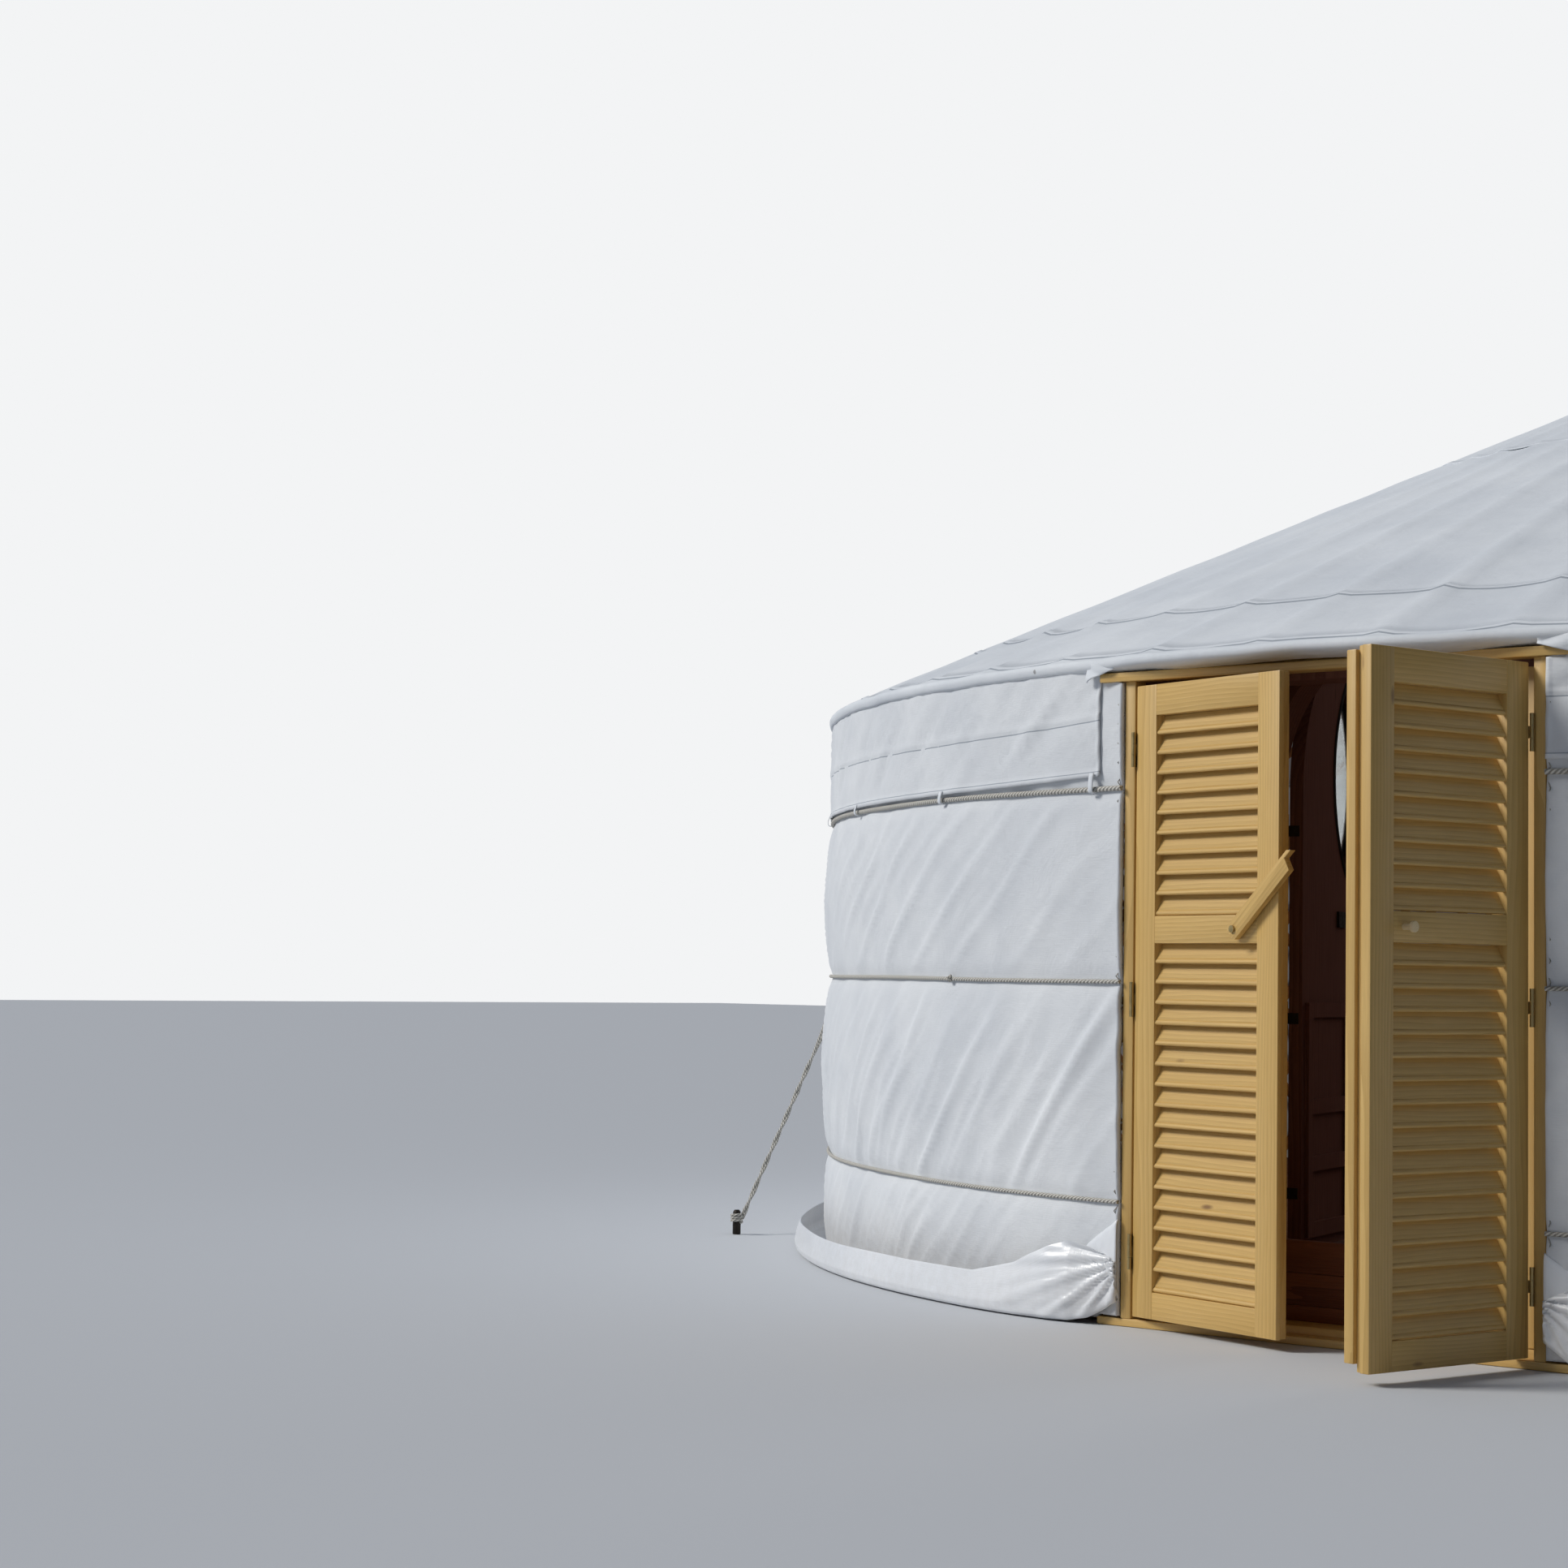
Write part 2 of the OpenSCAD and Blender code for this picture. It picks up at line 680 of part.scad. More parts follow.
// The turn bar's outline: a shoulder stops before the peg and a thin tongue rests on it
module latch_outline() {
    low = latch_above - latch_w;
    corner = 8;                           // the heel's corners are cut off
    shoulder = 14;
    tongue_z = peg_d / 2 + 1;
    polygon([[-latch_heel, low + corner], [-latch_heel + corner, low], [peg_span - shoulder, low],
             [peg_span - peg_d / 2, tongue_z], [peg_span + 24, tongue_z], [peg_span + 12, latch_above],
             [-latch_heel + corner, latch_above], [-latch_heel, latch_above - corner]]);
}

module latch_bar() {
    color(honey) in_left() on_face(latch_s, middle_rail_z) translate([0, 0, bar_off])
        rotate([0, 0, latch_up]) difference() {
            linear_extrude(latch_t) latch_outline();
            translate([0, 0, -1]) cylinder(h = latch_t + 2, d = screw_d + 0.1, $fn = 32);
        }
}

module latch_peg() {
    color(honey) in_right() on_face(peg_s, middle_rail_z) {
        cylinder(h = bar_off + latch_t + 6, d = peg_d, $fn = 32);
        translate([0, 0, bar_off + latch_t + 5]) cylinder(h = 10, d = 1.75 * peg_d, $fn = 32);
    }
}

// The inner door's parts are drawn flat, with x from its hinge line, and stand towards the porch
module on_inner(depth) { in_inner() rotate([90, 0, 0]) translate([0, 0, hinge_out + depth]) children(); }

// A pointed oval where two circles cross
module window_outline(grow) {
    off = window_r - window_w / 2;
    translate([inner_w / 2, window_z]) intersection() {
        translate([-off, 0]) circle(r = window_r + grow, $fn = round_fn);
        translate([off, 0]) circle(r = window_r + grow, $fn = round_fn);
    }
}

module inner_door() {
    color(dark_wood) on_inner(0) union() {
        difference() {
            linear_extrude(inner_door_t) translate([inner_w / 2, 0]) arched(inner_door_w, inner_door_z);
            translate([0, 0, -1]) linear_extrude(inner_door_t + 2) window_outline(0);
        }
        ledges();
    }
}

// Raised rails frame the panels in the inner door's lower half
module ledges() {
    rail = 44;
    rail_t = 12;
    inset = 30;                           // from the door's edges to the rails
    left = inner_gap + inset;
    right = inner_w - inner_gap - inset;
    low = inner_door_z + inset;
    translate([0, 0, inner_door_t - 1]) linear_extrude(rail_t + 1) {
        for (x = [left, inner_w / 2 - rail / 2, right - rail])
            translate([x, low]) square([rail, ledge_z + rail / 2 - low]);
        for (part = [0, 0.3, 0.56, 1])
            translate([left, low + part * (ledge_z - rail / 2 - low)]) square([right - left, rail]);
    }
}

module window_glass() {
    color("#9fb4b8") on_inner(inner_door_t / 2 - 3) linear_extrude(6) window_outline(-fit);
}

// Hinge knuckles and a latch: a plate, a flat bar and a hanging half ring
module inner_irons() {
    ring_r = 74;
    plate_s = 335;
    bar_s = 400;
    ring_s = 620;
    color(iron) {
        in_inner() mirror([0, 1, 0]) leaf_half(inner_hinge_heights, inner_gap);
        on_inner(inner_door_t) {
            translate([plate_s, latch_z - 30, 0]) cube([bar_s - plate_s + 10, 48, 8]);
            translate([bar_s, latch_z - 14, 0]) cube([inner_w - bar_s - 30, 28, 8]);
            translate([ring_s, latch_z, 12]) rotate([0, 0, 180])
                rotate_extrude(angle = 180, $fn = 96) translate([ring_r, 0]) circle(d = 12, $fn = 24);
        }
    }
}

floor();
floor_beams();
lattice(0);  // lattice_front_left
lattice(1);  // lattice_back_left
lattice(2);  // lattice_back_right
lattice(3);  // lattice_front_right
roof_poles(0);  // roof_poles_front_left
roof_poles(1);  // roof_poles_back_left
roof_poles(2);  // roof_poles_back_right
roof_poles(3);  // roof_poles_front_right
crown();
wall_cover(0);  // wall_cover_front_left
wall_cover(1);  // wall_cover_back_left
wall_cover(2);  // wall_cover_back_right
wall_cover(3);  // wall_cover_front_right
roof_cover(0);  // roof_cover_front_left
roof_cover(1);  // roof_cover_back_left
roof_cover(2);  // roof_cover_back_right
roof_cover(3);  // roof_cover_front_right
valance();
crown_cap();
belt_rope(upper_rope_z, upper_rope_d);  // upper_rope
belt_rope(middle_rope_z, belt_rope_d);  // middle_rope
belt_rope(lower_rope_z, belt_rope_d);  // lower_rope
guy_ropes();
stakes();
skirt();
sill();
threshold();
post(-1);  // left_post
post(1);  // right_post
head();
front_board();
inner_frame();
frame_hinges();
left_leaf();
left_louvres();
left_hinges();
latch_screw();
latch_bar();
right_leaf();
right_louvres();
right_hinges();
latch_peg();
inner_door();
window_glass();
inner_irons();
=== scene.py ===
# The looks of a round felt tent with louvred double doors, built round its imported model.
# Metres. The ground is z = 0, the tent's centre is x = y = 0 and the door faces -Y.
import random
from functools import partial
from math import asin, cos, pi, radians, sin, sqrt, tan

import bmesh
import bpy
import numpy as np
from mathutils import Matrix, Vector


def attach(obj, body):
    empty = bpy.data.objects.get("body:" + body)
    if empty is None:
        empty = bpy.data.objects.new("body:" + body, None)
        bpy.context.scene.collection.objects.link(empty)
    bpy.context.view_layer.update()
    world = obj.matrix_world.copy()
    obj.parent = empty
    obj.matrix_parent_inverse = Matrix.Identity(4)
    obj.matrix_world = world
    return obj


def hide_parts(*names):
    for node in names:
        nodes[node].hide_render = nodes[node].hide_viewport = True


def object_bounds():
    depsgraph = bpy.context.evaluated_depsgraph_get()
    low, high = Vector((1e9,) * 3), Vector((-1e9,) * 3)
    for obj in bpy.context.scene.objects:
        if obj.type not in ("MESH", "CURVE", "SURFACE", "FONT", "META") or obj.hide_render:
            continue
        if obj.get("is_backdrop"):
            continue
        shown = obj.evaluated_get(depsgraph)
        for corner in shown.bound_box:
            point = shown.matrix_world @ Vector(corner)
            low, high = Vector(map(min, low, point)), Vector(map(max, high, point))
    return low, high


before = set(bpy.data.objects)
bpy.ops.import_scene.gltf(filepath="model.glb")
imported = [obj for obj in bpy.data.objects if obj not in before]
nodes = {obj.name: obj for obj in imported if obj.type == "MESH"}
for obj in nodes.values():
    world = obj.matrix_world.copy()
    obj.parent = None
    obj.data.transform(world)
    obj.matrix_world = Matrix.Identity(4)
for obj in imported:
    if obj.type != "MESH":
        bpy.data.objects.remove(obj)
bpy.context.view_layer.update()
scene = bpy.context.scene
chance = random.Random(7)

tent = {
    "wallRadius": 3.600,
    "metresPerDegree": 0.0628,  # along the wall
    "roofEdgeRadius": 3.608,
    "roofEdgeHeight": 1.877,
    "roofPitch": radians(23.2),
    "crownRadius": 0.740,
    "poleCount": 60,
    "postSide": 0.650,          # outer face of a door post
    "hingeSide": 0.616,         # inner face of a door post
    "doorFace": -3.531,
    "beltHeights": (1.513, 0.965, 0.345),
    "quarters": ("front_left", "back_left", "back_right", "front_right"),
}


def roofHeight(radius):
    return tent["roofEdgeHeight"] + (tent["roofEdgeRadius"] - radius) * tan(tent["roofPitch"])


def spot(turn, radius, height):  # turn is clockwise from the door, seen from above
    return Vector((-radius * sin(turn), -radius * cos(turn), height))


def around(turn, radius, height):  # the same for arrays
    return np.stack([-radius * np.sin(turn), -radius * np.cos(turn), height + 0 * turn], axis=1)


def steps(count):
    return np.linspace(0, 1, count)


def ramp(value):  # held between 0 and 1
    return np.clip(value, 0, 1)


def atStep(index, values):  # the value at a place between two steps of a list
    return np.interp(index, np.arange(len(values)), values)


# materials

def hexColour(text):
    channels = [int(text[i:i + 2], 16) / 255 for i in (1, 3, 5)]
    return tuple(c / 12.92 if c <= 0.04045 else ((c + 0.055) / 1.055) ** 2.4 for c in channels) + (1.0,)


def addNode(tree, kind, inputs=None, **settings):
    node = tree.nodes.new("ShaderNode" + kind)
    for key, value in settings.items():
        setattr(node, key, value)
    for key, value in (inputs or {}).items():
        if isinstance(value, str):
            value = hexColour(value)
        if isinstance(value, bpy.types.Node):
            value = value.outputs[0]
        if isinstance(value, bpy.types.NodeSocket):
            tree.links.new(value, node.inputs[key])
        else:
            node.inputs[key].default_value = value
    return node


def newMaterial(name, surface, look):
    # surface adds the material's own nodes and returns what goes into its shader
    material = bpy.data.materials.new(name)
    material.use_nodes = True
    material.node_tree.nodes.clear()
    add = partial(addNode, material.node_tree)
    shader = add("BsdfPrincipled", surface(add, look) if surface else look)
    add("OutputMaterial", {"Surface": shader})
    return material


def canvasSurface(add, look):
    place = add("TexCoord").outputs["Object"]
    cut = add("UVMap", uv_map="cut")
    # threads lie 0.7 mm apart; they are drawn as slubs 3 mm wide and 40 mm long, so that they show
    warp = add("Mapping", {"Vector": cut, "Scale": (330, 25, 1)})
    weft = add("Mapping", {"Vector": cut, "Scale": (25, 330, 1)})
    warpNoise = add("TexNoise", {"Vector": warp, "Scale": 1, "Detail": 1})
    weftNoise = add("TexNoise", {"Vector": weft, "Scale": 1, "Detail": 1})
    weave = add("Math", {0: warpNoise, 1: weftNoise}, operation="ADD")
    crumple = add("TexNoise", {
        "Vector": place, "Scale": 7, "Detail": 4, "Roughness": 0.55, "Distortion": 0.5})
    soft = add("Bump", {"Distance": look["crumple"], "Height": crumple})
    fine = add("Bump", {"Strength": 0.5, "Distance": 0.0008, "Height": weave, "Normal": soft})
    # weathering in patches a hand to an arm wide, and splashed soil near the ground
    patches = add("TexNoise", {"Vector": place, "Scale": 2.2, "Detail": 6, "Roughness": 0.6})
    patchShare = add("MapRange", {"Value": patches, 1: 0.35, 2: 0.7, 3: 0, 4: 1})
    worn = add("Mix", {0: patchShare, 6: look["pale"], 7: look["worn"]}, data_type="RGBA")
    height = add("SeparateXYZ", {0: place}).outputs[2]
    low = add("MapRange", {"Value": height, 1: 0.02, 2: 0.30, 3: 1, 4: 0}, interpolation_type="SMOOTHSTEP")
    spatter = add("TexNoise", {"Vector": place, "Scale": 34, "Detail": 5, "Roughness": 0.7})
    soiled = add("Math", {0: low, 1: spatter}, operation="MULTIPLY")
    soilShare = add("Math", {0: soiled, 1: look["soil"]}, operation="MULTIPLY")
    dirty = add("Mix", {0: soilShare, 6: worn.outputs[2], 7: "#8d7c66"}, data_type="RGBA")
    # small dark specks of leaf litter, 4 to 8 mm across
    cells = add("TexVoronoi", {"Vector": place, "Scale": look["speckScale"]})
    speck = add("MapRange", {
        "Value": cells, 1: look["speckSize"], 2: look["speckSize"] * 1.5, 3: look["speck"], 4: 0})
    final = add("Mix", {0: speck, 6: dirty.outputs[2], 7: "#4c453b"}, data_type="RGBA")
    return {"Base Color": final.outputs[2], "Normal": fine, "Roughness": look["rough"], "Sheen Weight": 0.1}


# plain-woven cotton canvas: matt, faintly slubbed, off-white and weathered
wallCanvas = newMaterial("cotton canvas, woven, wall", canvasSurface, {
    "pale": "#dcdfe2", "worn": "#cdd1d6", "rough": 0.9, "crumple": 0.006, "soil": 0.5,
    "speckScale": 2.2, "speckSize": 0.012, "speck": 0.5})
roofCanvas = newMaterial("cotton canvas, woven, roof", canvasSurface, {
    "pale": "#dfe3e7", "worn": "#d0d5db", "rough": 0.88, "crumple": 0.004, "soil": 0.0,
    "speckScale": 3.1, "speckSize": 0.018, "speck": 0.6})
# polyester sheet coated with white PVC: smooth, with a soft gloss and soil along the ground
coatedSheet = newMaterial("coated polyester sheet", canvasSurface, {
    "pale": "#eef1f5", "worn": "#e4e8ed", "rough": 0.26, "crumple": 0.0006, "soil": 0.3,
    "speckScale": 6, "speckSize": 0.02, "speck": 0.3})
# a strip of painted shadow on the step of a lapped seam: canvas drawn greyer than the cloth, where the step
# would cast a fine shadow
seamShadow = newMaterial("cotton canvas, painted seam shadow", canvasSurface, {
    "pale": "#a2a9b1", "worn": "#9299a2", "rough": 0.9, "crumple": 0.002, "soil": 0.3,
    "speckScale": 3.1, "speckSize": 0.01, "speck": 0.2})


def woodSurface(add, look):
    # the grain vector runs along the board in x; rings and fibres are stretched along it
    if look["along"] == "board":
        grain = add("Attribute", attribute_name="grain").outputs["Vector"]
    else:
        grain = add("TexCoord").outputs["Object"]
    slow = add("Mapping", {"Vector": grain, "Scale": (1.1, 7, 7)})
    sway = add("TexNoise", {"Vector": slow, "Scale": 1, "Detail": 2})
    swayPart = add("VectorMath", {0: sway.outputs[1], "Scale": 0.05}, operation="SCALE")
    bent = add("VectorMath", {0: grain, 1: swayPart}, operation="ADD")
    flat = add("Mapping", {"Vector": bent, "Scale": (0.05, 1, 1)})
    # growth rings lie 3 mm apart; a flat-sawn face spreads them to lines 6 to 15 mm apart
    rings = add("TexWave", {
        "Vector": flat, "Scale": 0.314 / look["ring"], "Distortion": 1.2, "Detail": 2, "Detail Scale": 1.5},
        wave_type="RINGS", rings_direction="X", wave_profile="SAW")
    long = add("Mapping", {"Vector": grain, "Scale": (9, 320, 320)})
    fibre = add("TexNoise", {"Vector": long, "Scale": 1, "Detail": 3, "Roughness": 0.6})
    tone = add("TexNoise", {"Vector": grain, "Scale": 1.7, "Detail": 1})
    fibreShare = add("MapRange", {"Value": fibre, 1: 0.3, 2: 0.7, 3: 0, 4: look["fibre"]})
    ringShare = add("Math", {0: rings.outputs["Fac"], 1: look["contrast"]}, operation="MULTIPLY")
    darkShare = add("Math", {0: fibreShare, 1: ringShare}, operation="ADD", use_clamp=True)
    body = add("Mix", {0: darkShare, 6: look["early"], 7: look["late"]}, data_type="RGBA")
    toneShare = add("MapRange", {"Value": tone, 1: 0.3, 2: 0.7, 3: 0, 4: 0.55})
    toned = add("Mix", {0: toneShare, 6: body.outputs[2], 7: look["tone"]}, data_type="RGBA")
    # small tight knots, 4 to 12 mm across
    knotPlace = add("Mapping", {"Vector": grain, "Scale": (2.2, 7, 7)})
    knots = add("TexVoronoi", {"Vector": knotPlace, "Scale": 1})
    knotShare = add("MapRange", {"Value": knots, 1: 0.03, 2: 0.07, 3: look["knots"], 4: 0})
    final = add("Mix", {0: knotShare, 6: toned.outputs[2], 7: look["knot"]}, data_type="RGBA")
    rough = add("MapRange", {
        "Value": fibre, 1: 0.3, 2: 0.7, 3: look["rough"] - 0.05, 4: look["rough"] + 0.08})
    relief = add("Bump", {"Strength": 0.6, "Distance": 0.0006, "Height": darkShare})
    return {"Base Color": final.outputs[2], "Roughness": rough, "Normal": relief, "Coat Weight": look["coat"],
            "Coat Roughness": 0.25, "Specular IOR Level": look["shine"]}


# flat-sawn pine under honey-coloured varnish: warm, lively grain and a soft gloss
honeyPine = newMaterial("pine, sawn and varnished", woodSurface, {
    "along": "board", "early": "#dcb872", "late": "#b28c49", "tone": "#cca55d", "knot": "#6f4822",
    "ring": 0.012, "contrast": 0.5, "fibre": 0.3, "coat": 0.2, "rough": 0.45, "shine": 0.5, "knots": 0.8})
# a turned pine peg, left bare: paler than the varnished wood
barePine = newMaterial("pine, turned and bare", woodSurface, {
    "along": "board", "early": "#f0dcb4", "late": "#d8bb86", "tone": "#e6cc9c", "knot": "#a5804f",
    "ring": 0.006, "contrast": 0.4, "fibre": 0.3, "coat": 0.0, "rough": 0.6, "shine": 0.4, "knots": 0.0})
# pine stained dark reddish brown, brushed on: the grain only just shows
stainedPine = newMaterial("pine, planed and stained", woodSurface, {
    "along": "board", "early": "#775145", "late": "#513229", "tone": "#644138", "knot": "#1f0f0a",
    "ring": 0.012, "contrast": 0.6, "fibre": 0.4, "coat": 0.0, "rough": 0.75, "shine": 0.15, "knots": 0.7})
# softwood boards stained reddish brown and walked on, and the beams under them
floorLook = {
    "along": "board", "early": "#7c4a31", "late": "#593020", "tone": "#6b3d28", "knot": "#2e1810",
    "ring": 0.014, "contrast": 0.7, "fibre": 0.5, "coat": 0.0, "rough": 0.65, "shine": 0.3, "knots": 0.8}
floorPine = newMaterial("softwood, planed and stained", woodSurface, floorLook)
beamPine = newMaterial("softwood, sawn", woodSurface, {**floorLook, "along": "x", "rough": 0.7})
# oiled softwood of the lattice and the roof poles
oiledPine = newMaterial("softwood, planed and oiled", woodSurface, {
    "along": "board", "early": "#b58150", "late": "#8d5a2f", "tone": "#a06d3f", "knot": "#4d2c18",
    "ring": 0.008, "contrast": 0.5, "fibre": 0.5, "coat": 0.05, "rough": 0.55, "shine": 0.4, "knots": 0.5})


def ropeSurface(add, look):
    # three strands laid round each other; the grain vector is (length along, and the place in the section)
    grain = add("Attribute", attribute_name="grain").outputs["Vector"]
    parts = add("SeparateXYZ", {0: grain})
    angle = add("Math", {0: parts.outputs[2], 1: parts.outputs[1]}, operation="ARCTAN2")
    length = add("Math", {0: parts, 1: 6 * pi / look["lay"]}, operation="MULTIPLY")
    phase = add("Math", {0: angle, 1: 3.0, 2: length}, operation="MULTIPLY_ADD")
    strand = add("Math", {0: phase}, operation="COSINE")
    height = add("MapRange", {"Value": strand, 1: -1, 2: 1, 3: 0, 4: 1})
    hairs = add("TexNoise", {"Vector": grain, "Scale": 420, "Detail": 3})
    # the colour is drawn darker in the grooves between the strands as painted shade, and flecked by the hairs
    shade = add("Math", {0: height, 1: hairs}, operation="MULTIPLY")
    share = add("MapRange", {"Value": shade, 1: 0.05, 2: 0.5, 3: 0, 4: 1})
    colour = add("Mix", {0: share, 6: look["dark"], 7: look["light"]}, data_type="RGBA")
    relief = add("Bump", {"Distance": look["relief"], "Height": height})
    return {"Base Color": colour.outputs[2], "Normal": relief, "Roughness": 0.85}


# laid rope of hemp and horsehair: hairy and grey-beige, with painted shade drawn darker between its strands
hempRope = newMaterial("hemp rope, laid", ropeSurface, {
    "dark": "#8f8c84", "light": "#d8d5cd", "lay": 0.045, "relief": 0.002})


def metalSurface(add, look):
    place = add("TexCoord").outputs["Object"]
    clouds = add("TexNoise", {"Vector": place, "Scale": look["scale"], "Detail": look["detail"]})
    colour = add("Mix", {0: clouds, 6: look["dark"], 7: look["light"]}, data_type="RGBA")
    rough = add("MapRange", {"Value": clouds, 1: 0.3, 2: 0.7, 3: look["smooth"], 4: look["rough"]})
    inputs = {"Base Color": colour.outputs[2], "Roughness": rough, "Metallic": look["metallic"]}
    if look["relief"]:
        inputs["Normal"] = add("Bump", {"Distance": look["relief"], "Height": clouds})
    return inputs


# blackened wrought iron: dark, hammered and slightly oily
blackIron = newMaterial("wrought iron, blackened", metalSurface, {
    "metallic": 0.85, "scale": 90, "detail": 3, "dark": "#1d1b1a", "light": "#3d3732", "smooth": 0.42,
    "rough": 0.65, "relief": 0.0008})
# zinc-plated steel, passivated yellow: a dulled golden metal with cloudy patches
platedSteel = newMaterial("steel, zinc-plated yellow", metalSurface, {
    "metallic": 1.0, "scale": 60, "detail": 4, "dark": "#a58d58", "light": "#c3b083", "smooth": 0.35,
    "rough": 0.55, "relief": 0})


def glassSurface(add, look):
    dust = add("TexNoise", {"Vector": add("TexCoord").outputs["Object"], "Scale": 30, "Detail": 4})
    return {**look, "Roughness": add("MapRange", {"Value": dust, 3: 0.01, 4: 0.08})}


# clear float glass, a little dusty
windowGlass = newMaterial("float glass", glassSurface, {
    "Base Color": "#e8f0f0", "Transmission Weight": 1.0, "IOR": 1.2})
# extruded black rubber seal
rubber = newMaterial("rubber, extruded", None, {"Base Color": "#161514", "Roughness": 0.6})
print("materials made")


# ways of making pieces

def makePiece(name, bm, body, materials, stands=(), sharp=40, thickness=0):
    bm.normal_update()
    limit = radians(sharp)
    for face in bm.faces:
        face.smooth = True
    for edge in bm.edges:
        if len(edge.link_faces) == 2 and edge.calc_face_angle(0) > limit:
            edge.smooth = False
    mesh = bpy.data.meshes.new(name)
    bm.to_mesh(mesh)
    bm.free()
    piece = bpy.data.objects.new(name, mesh)
    scene.collection.objects.link(piece)
    for material in materials:
        mesh.materials.append(material)
    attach(piece, body)
    if stands:
        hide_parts(*stands)
    if thickness:
        solidify = piece.modifiers.new("thickness", "SOLIDIFY")
        solidify.thickness = thickness
        solidify.offset = -1
    return piece


def makeCloth(name, bm, materials, stands, thickness):
    return makePiece(name, bm, "tent", materials, stands, sharp=80, thickness=thickness)


def setLook(nodeName, material):
    nodes[nodeName].data.materials.clear()
    nodes[nodeName].data.materials.append(material)


def clothSheet(columns, rows, size, shape, flip=True, seamShade=None):
    # columns and rows are the places of the grid's lines, from 0 to 1; shape gives their points,
    # and the last argument says which faces, by their middle, take the painted seam shadow
    bm = bmesh.new()
    cut = bm.loops.layers.uv.new("cut")
    bmesh.ops.create_grid(bm, x_segments=len(columns) - 1, y_segments=len(rows) - 1, size=1)
    shares = np.array([vert.co for vert in bm.verts])[:, :2] / 2 + 0.5
    across = np.interp(shares[:, 0], steps(len(columns)), columns)
    up = np.interp(shares[:, 1], steps(len(rows)), rows)
    bm.verts.index_update()
    for face in bm.faces:
        for loop in face.loops:
            index = loop.vert.index
            loop[cut].uv = (across[index] * size[0], up[index] * size[1])
        if seamShade:
            corners = [loop.vert.index for loop in face.loops]
            face.material_index = int(seamShade(np.mean(across[corners]), np.mean(up[corners])))
    for vert, point in zip(bm.verts, shape(across, up)):
        vert.co = point
    if flip:
        bmesh.ops.reverse_faces(bm, faces=bm.faces[:])
    return bm


def alongMarks(share, marks, values):  # straight lines between the marks, where a value may be an array
    marks = np.array(marks)
    table = np.array([value + 0 * share for value in values])
    index = np.clip(np.searchsorted(marks, share, side="right") - 1, 0, len(marks) - 2)
    here = np.arange(len(share))
    part = (share - marks[index]) / (marks[index + 1] - marks[index])
    return table[index, here] + (table[index + 1, here] - table[index, here]) * part


def ripple(x, y, seed, waves=7):  # a smooth value, mostly between -1 and 1, that never repeats plainly
    dice = random.Random(seed)
    total = 0 * x
    for _ in range(waves):
        way, pace = dice.uniform(0, 2 * pi), dice.uniform(0.6, 1.6)
        total = total + np.sin(2 * pi * pace * (x * cos(way) + y * sin(way)) + dice.uniform(0, 6.28))
    return total * 0.75 / sqrt(waves)


def addBoard(bm, low, high, along, bevel=0.003, shift=None):
    # a bevelled board between two corners; its grain runs along axis 0, 1 or 2
    board = bmesh.new()
    low, high = Vector(low), Vector(high)
    bmesh.ops.create_cube(board, size=1)
    bmesh.ops.scale(board, vec=high - low, verts=board.verts)
    bmesh.ops.translate(board, vec=(low + high) / 2, verts=board.verts)
    bmesh.ops.bevel(board, geom=board.edges[:], offset=bevel, offset_type="OFFSET", segments=2, profile=0.5,
                    affect="EDGES", material=-1)
    setGrain(board, along, shift)
    joinInto(bm, board)


def setGrain(board, along, shift=None, unturn=None):
    layer = board.verts.layers.float_vector.get("grain") or board.verts.layers.float_vector.new("grain")
    move = Vector(shift or (chance.uniform(-9, 9), chance.uniform(-0.05, 0.05), chance.uniform(0.04, 0.12)))
    for vert in board.verts:
        place = unturn @ vert.co if unturn else vert.co
        vert[layer] = Vector((place[along], place[(along + 1) % 3], place[(along + 2) % 3])) + move


def joinInto(bm, part):
    mesh = bpy.data.meshes.new("part")
    part.to_mesh(mesh)
    part.free()
    bm.from_mesh(mesh)
    bpy.data.meshes.remove(mesh)


def startBoards():
    bm = bmesh.new()
    bm.verts.layers.float_vector.new("grain")
    return bm


def ringEdges(ring):
    near = dict.fromkeys(edge for vert in ring for edge in vert.link_edges)
    return [edge for edge in near if edge.verts[0] in ring and edge.verts[1] in ring]


def addTube(bm, points, radius, sides=8):
    # a round rope or bar along points, with the grain vector running along it
    tube = bmesh.new()
    layer = tube.verts.layers.float_vector.new("grain")
    points = [Vector(p) for p in points]
    radii = radius if isinstance(radius, (list, tuple)) else [radius] * len(points)
    direction = (points[1] - points[0]).normalized()
    side = direction.orthogonal().normalized()
    ring, length = None, 0.0
    for i, point in enumerate(points):
        ahead = points[min(i + 1, len(points) - 1)] - points[max(i - 1, 0)]
        if ahead.length > 1e-9:
            direction = ahead.normalized()
            side = (direction.cross(side).cross(direction)).normalized()
        up = direction.cross(side)
        if i:
            length += (point - points[i - 1]).length
        if ring is None:
            grown = bmesh.ops.create_circle(tube, cap_ends=True, segments=sides, radius=1)["verts"]
        else:
            made = bmesh.ops.extrude_edge_only(tube, edges=ringEdges(ring))["geom"]
            new = {v for v in made if isinstance(v, bmesh.types.BMVert)}
            grown = [next(e.other_vert(v) for e in v.link_edges if e.other_vert(v) in new) for v in ring]
        for k, vert in enumerate(grown):
            angle = 2 * pi * k / sides
            vert.co = point + (side * cos(angle) + up * sin(angle)) * radii[i]
            vert[layer] = (length, cos(angle) * radii[i], sin(angle) * radii[i])
        ring = grown
    bmesh.ops.contextual_create(tube, geom=ringEdges(ring))
    bmesh.ops.recalc_face_normals(tube, faces=tube.faces[:])
    joinInto(bm, tube)


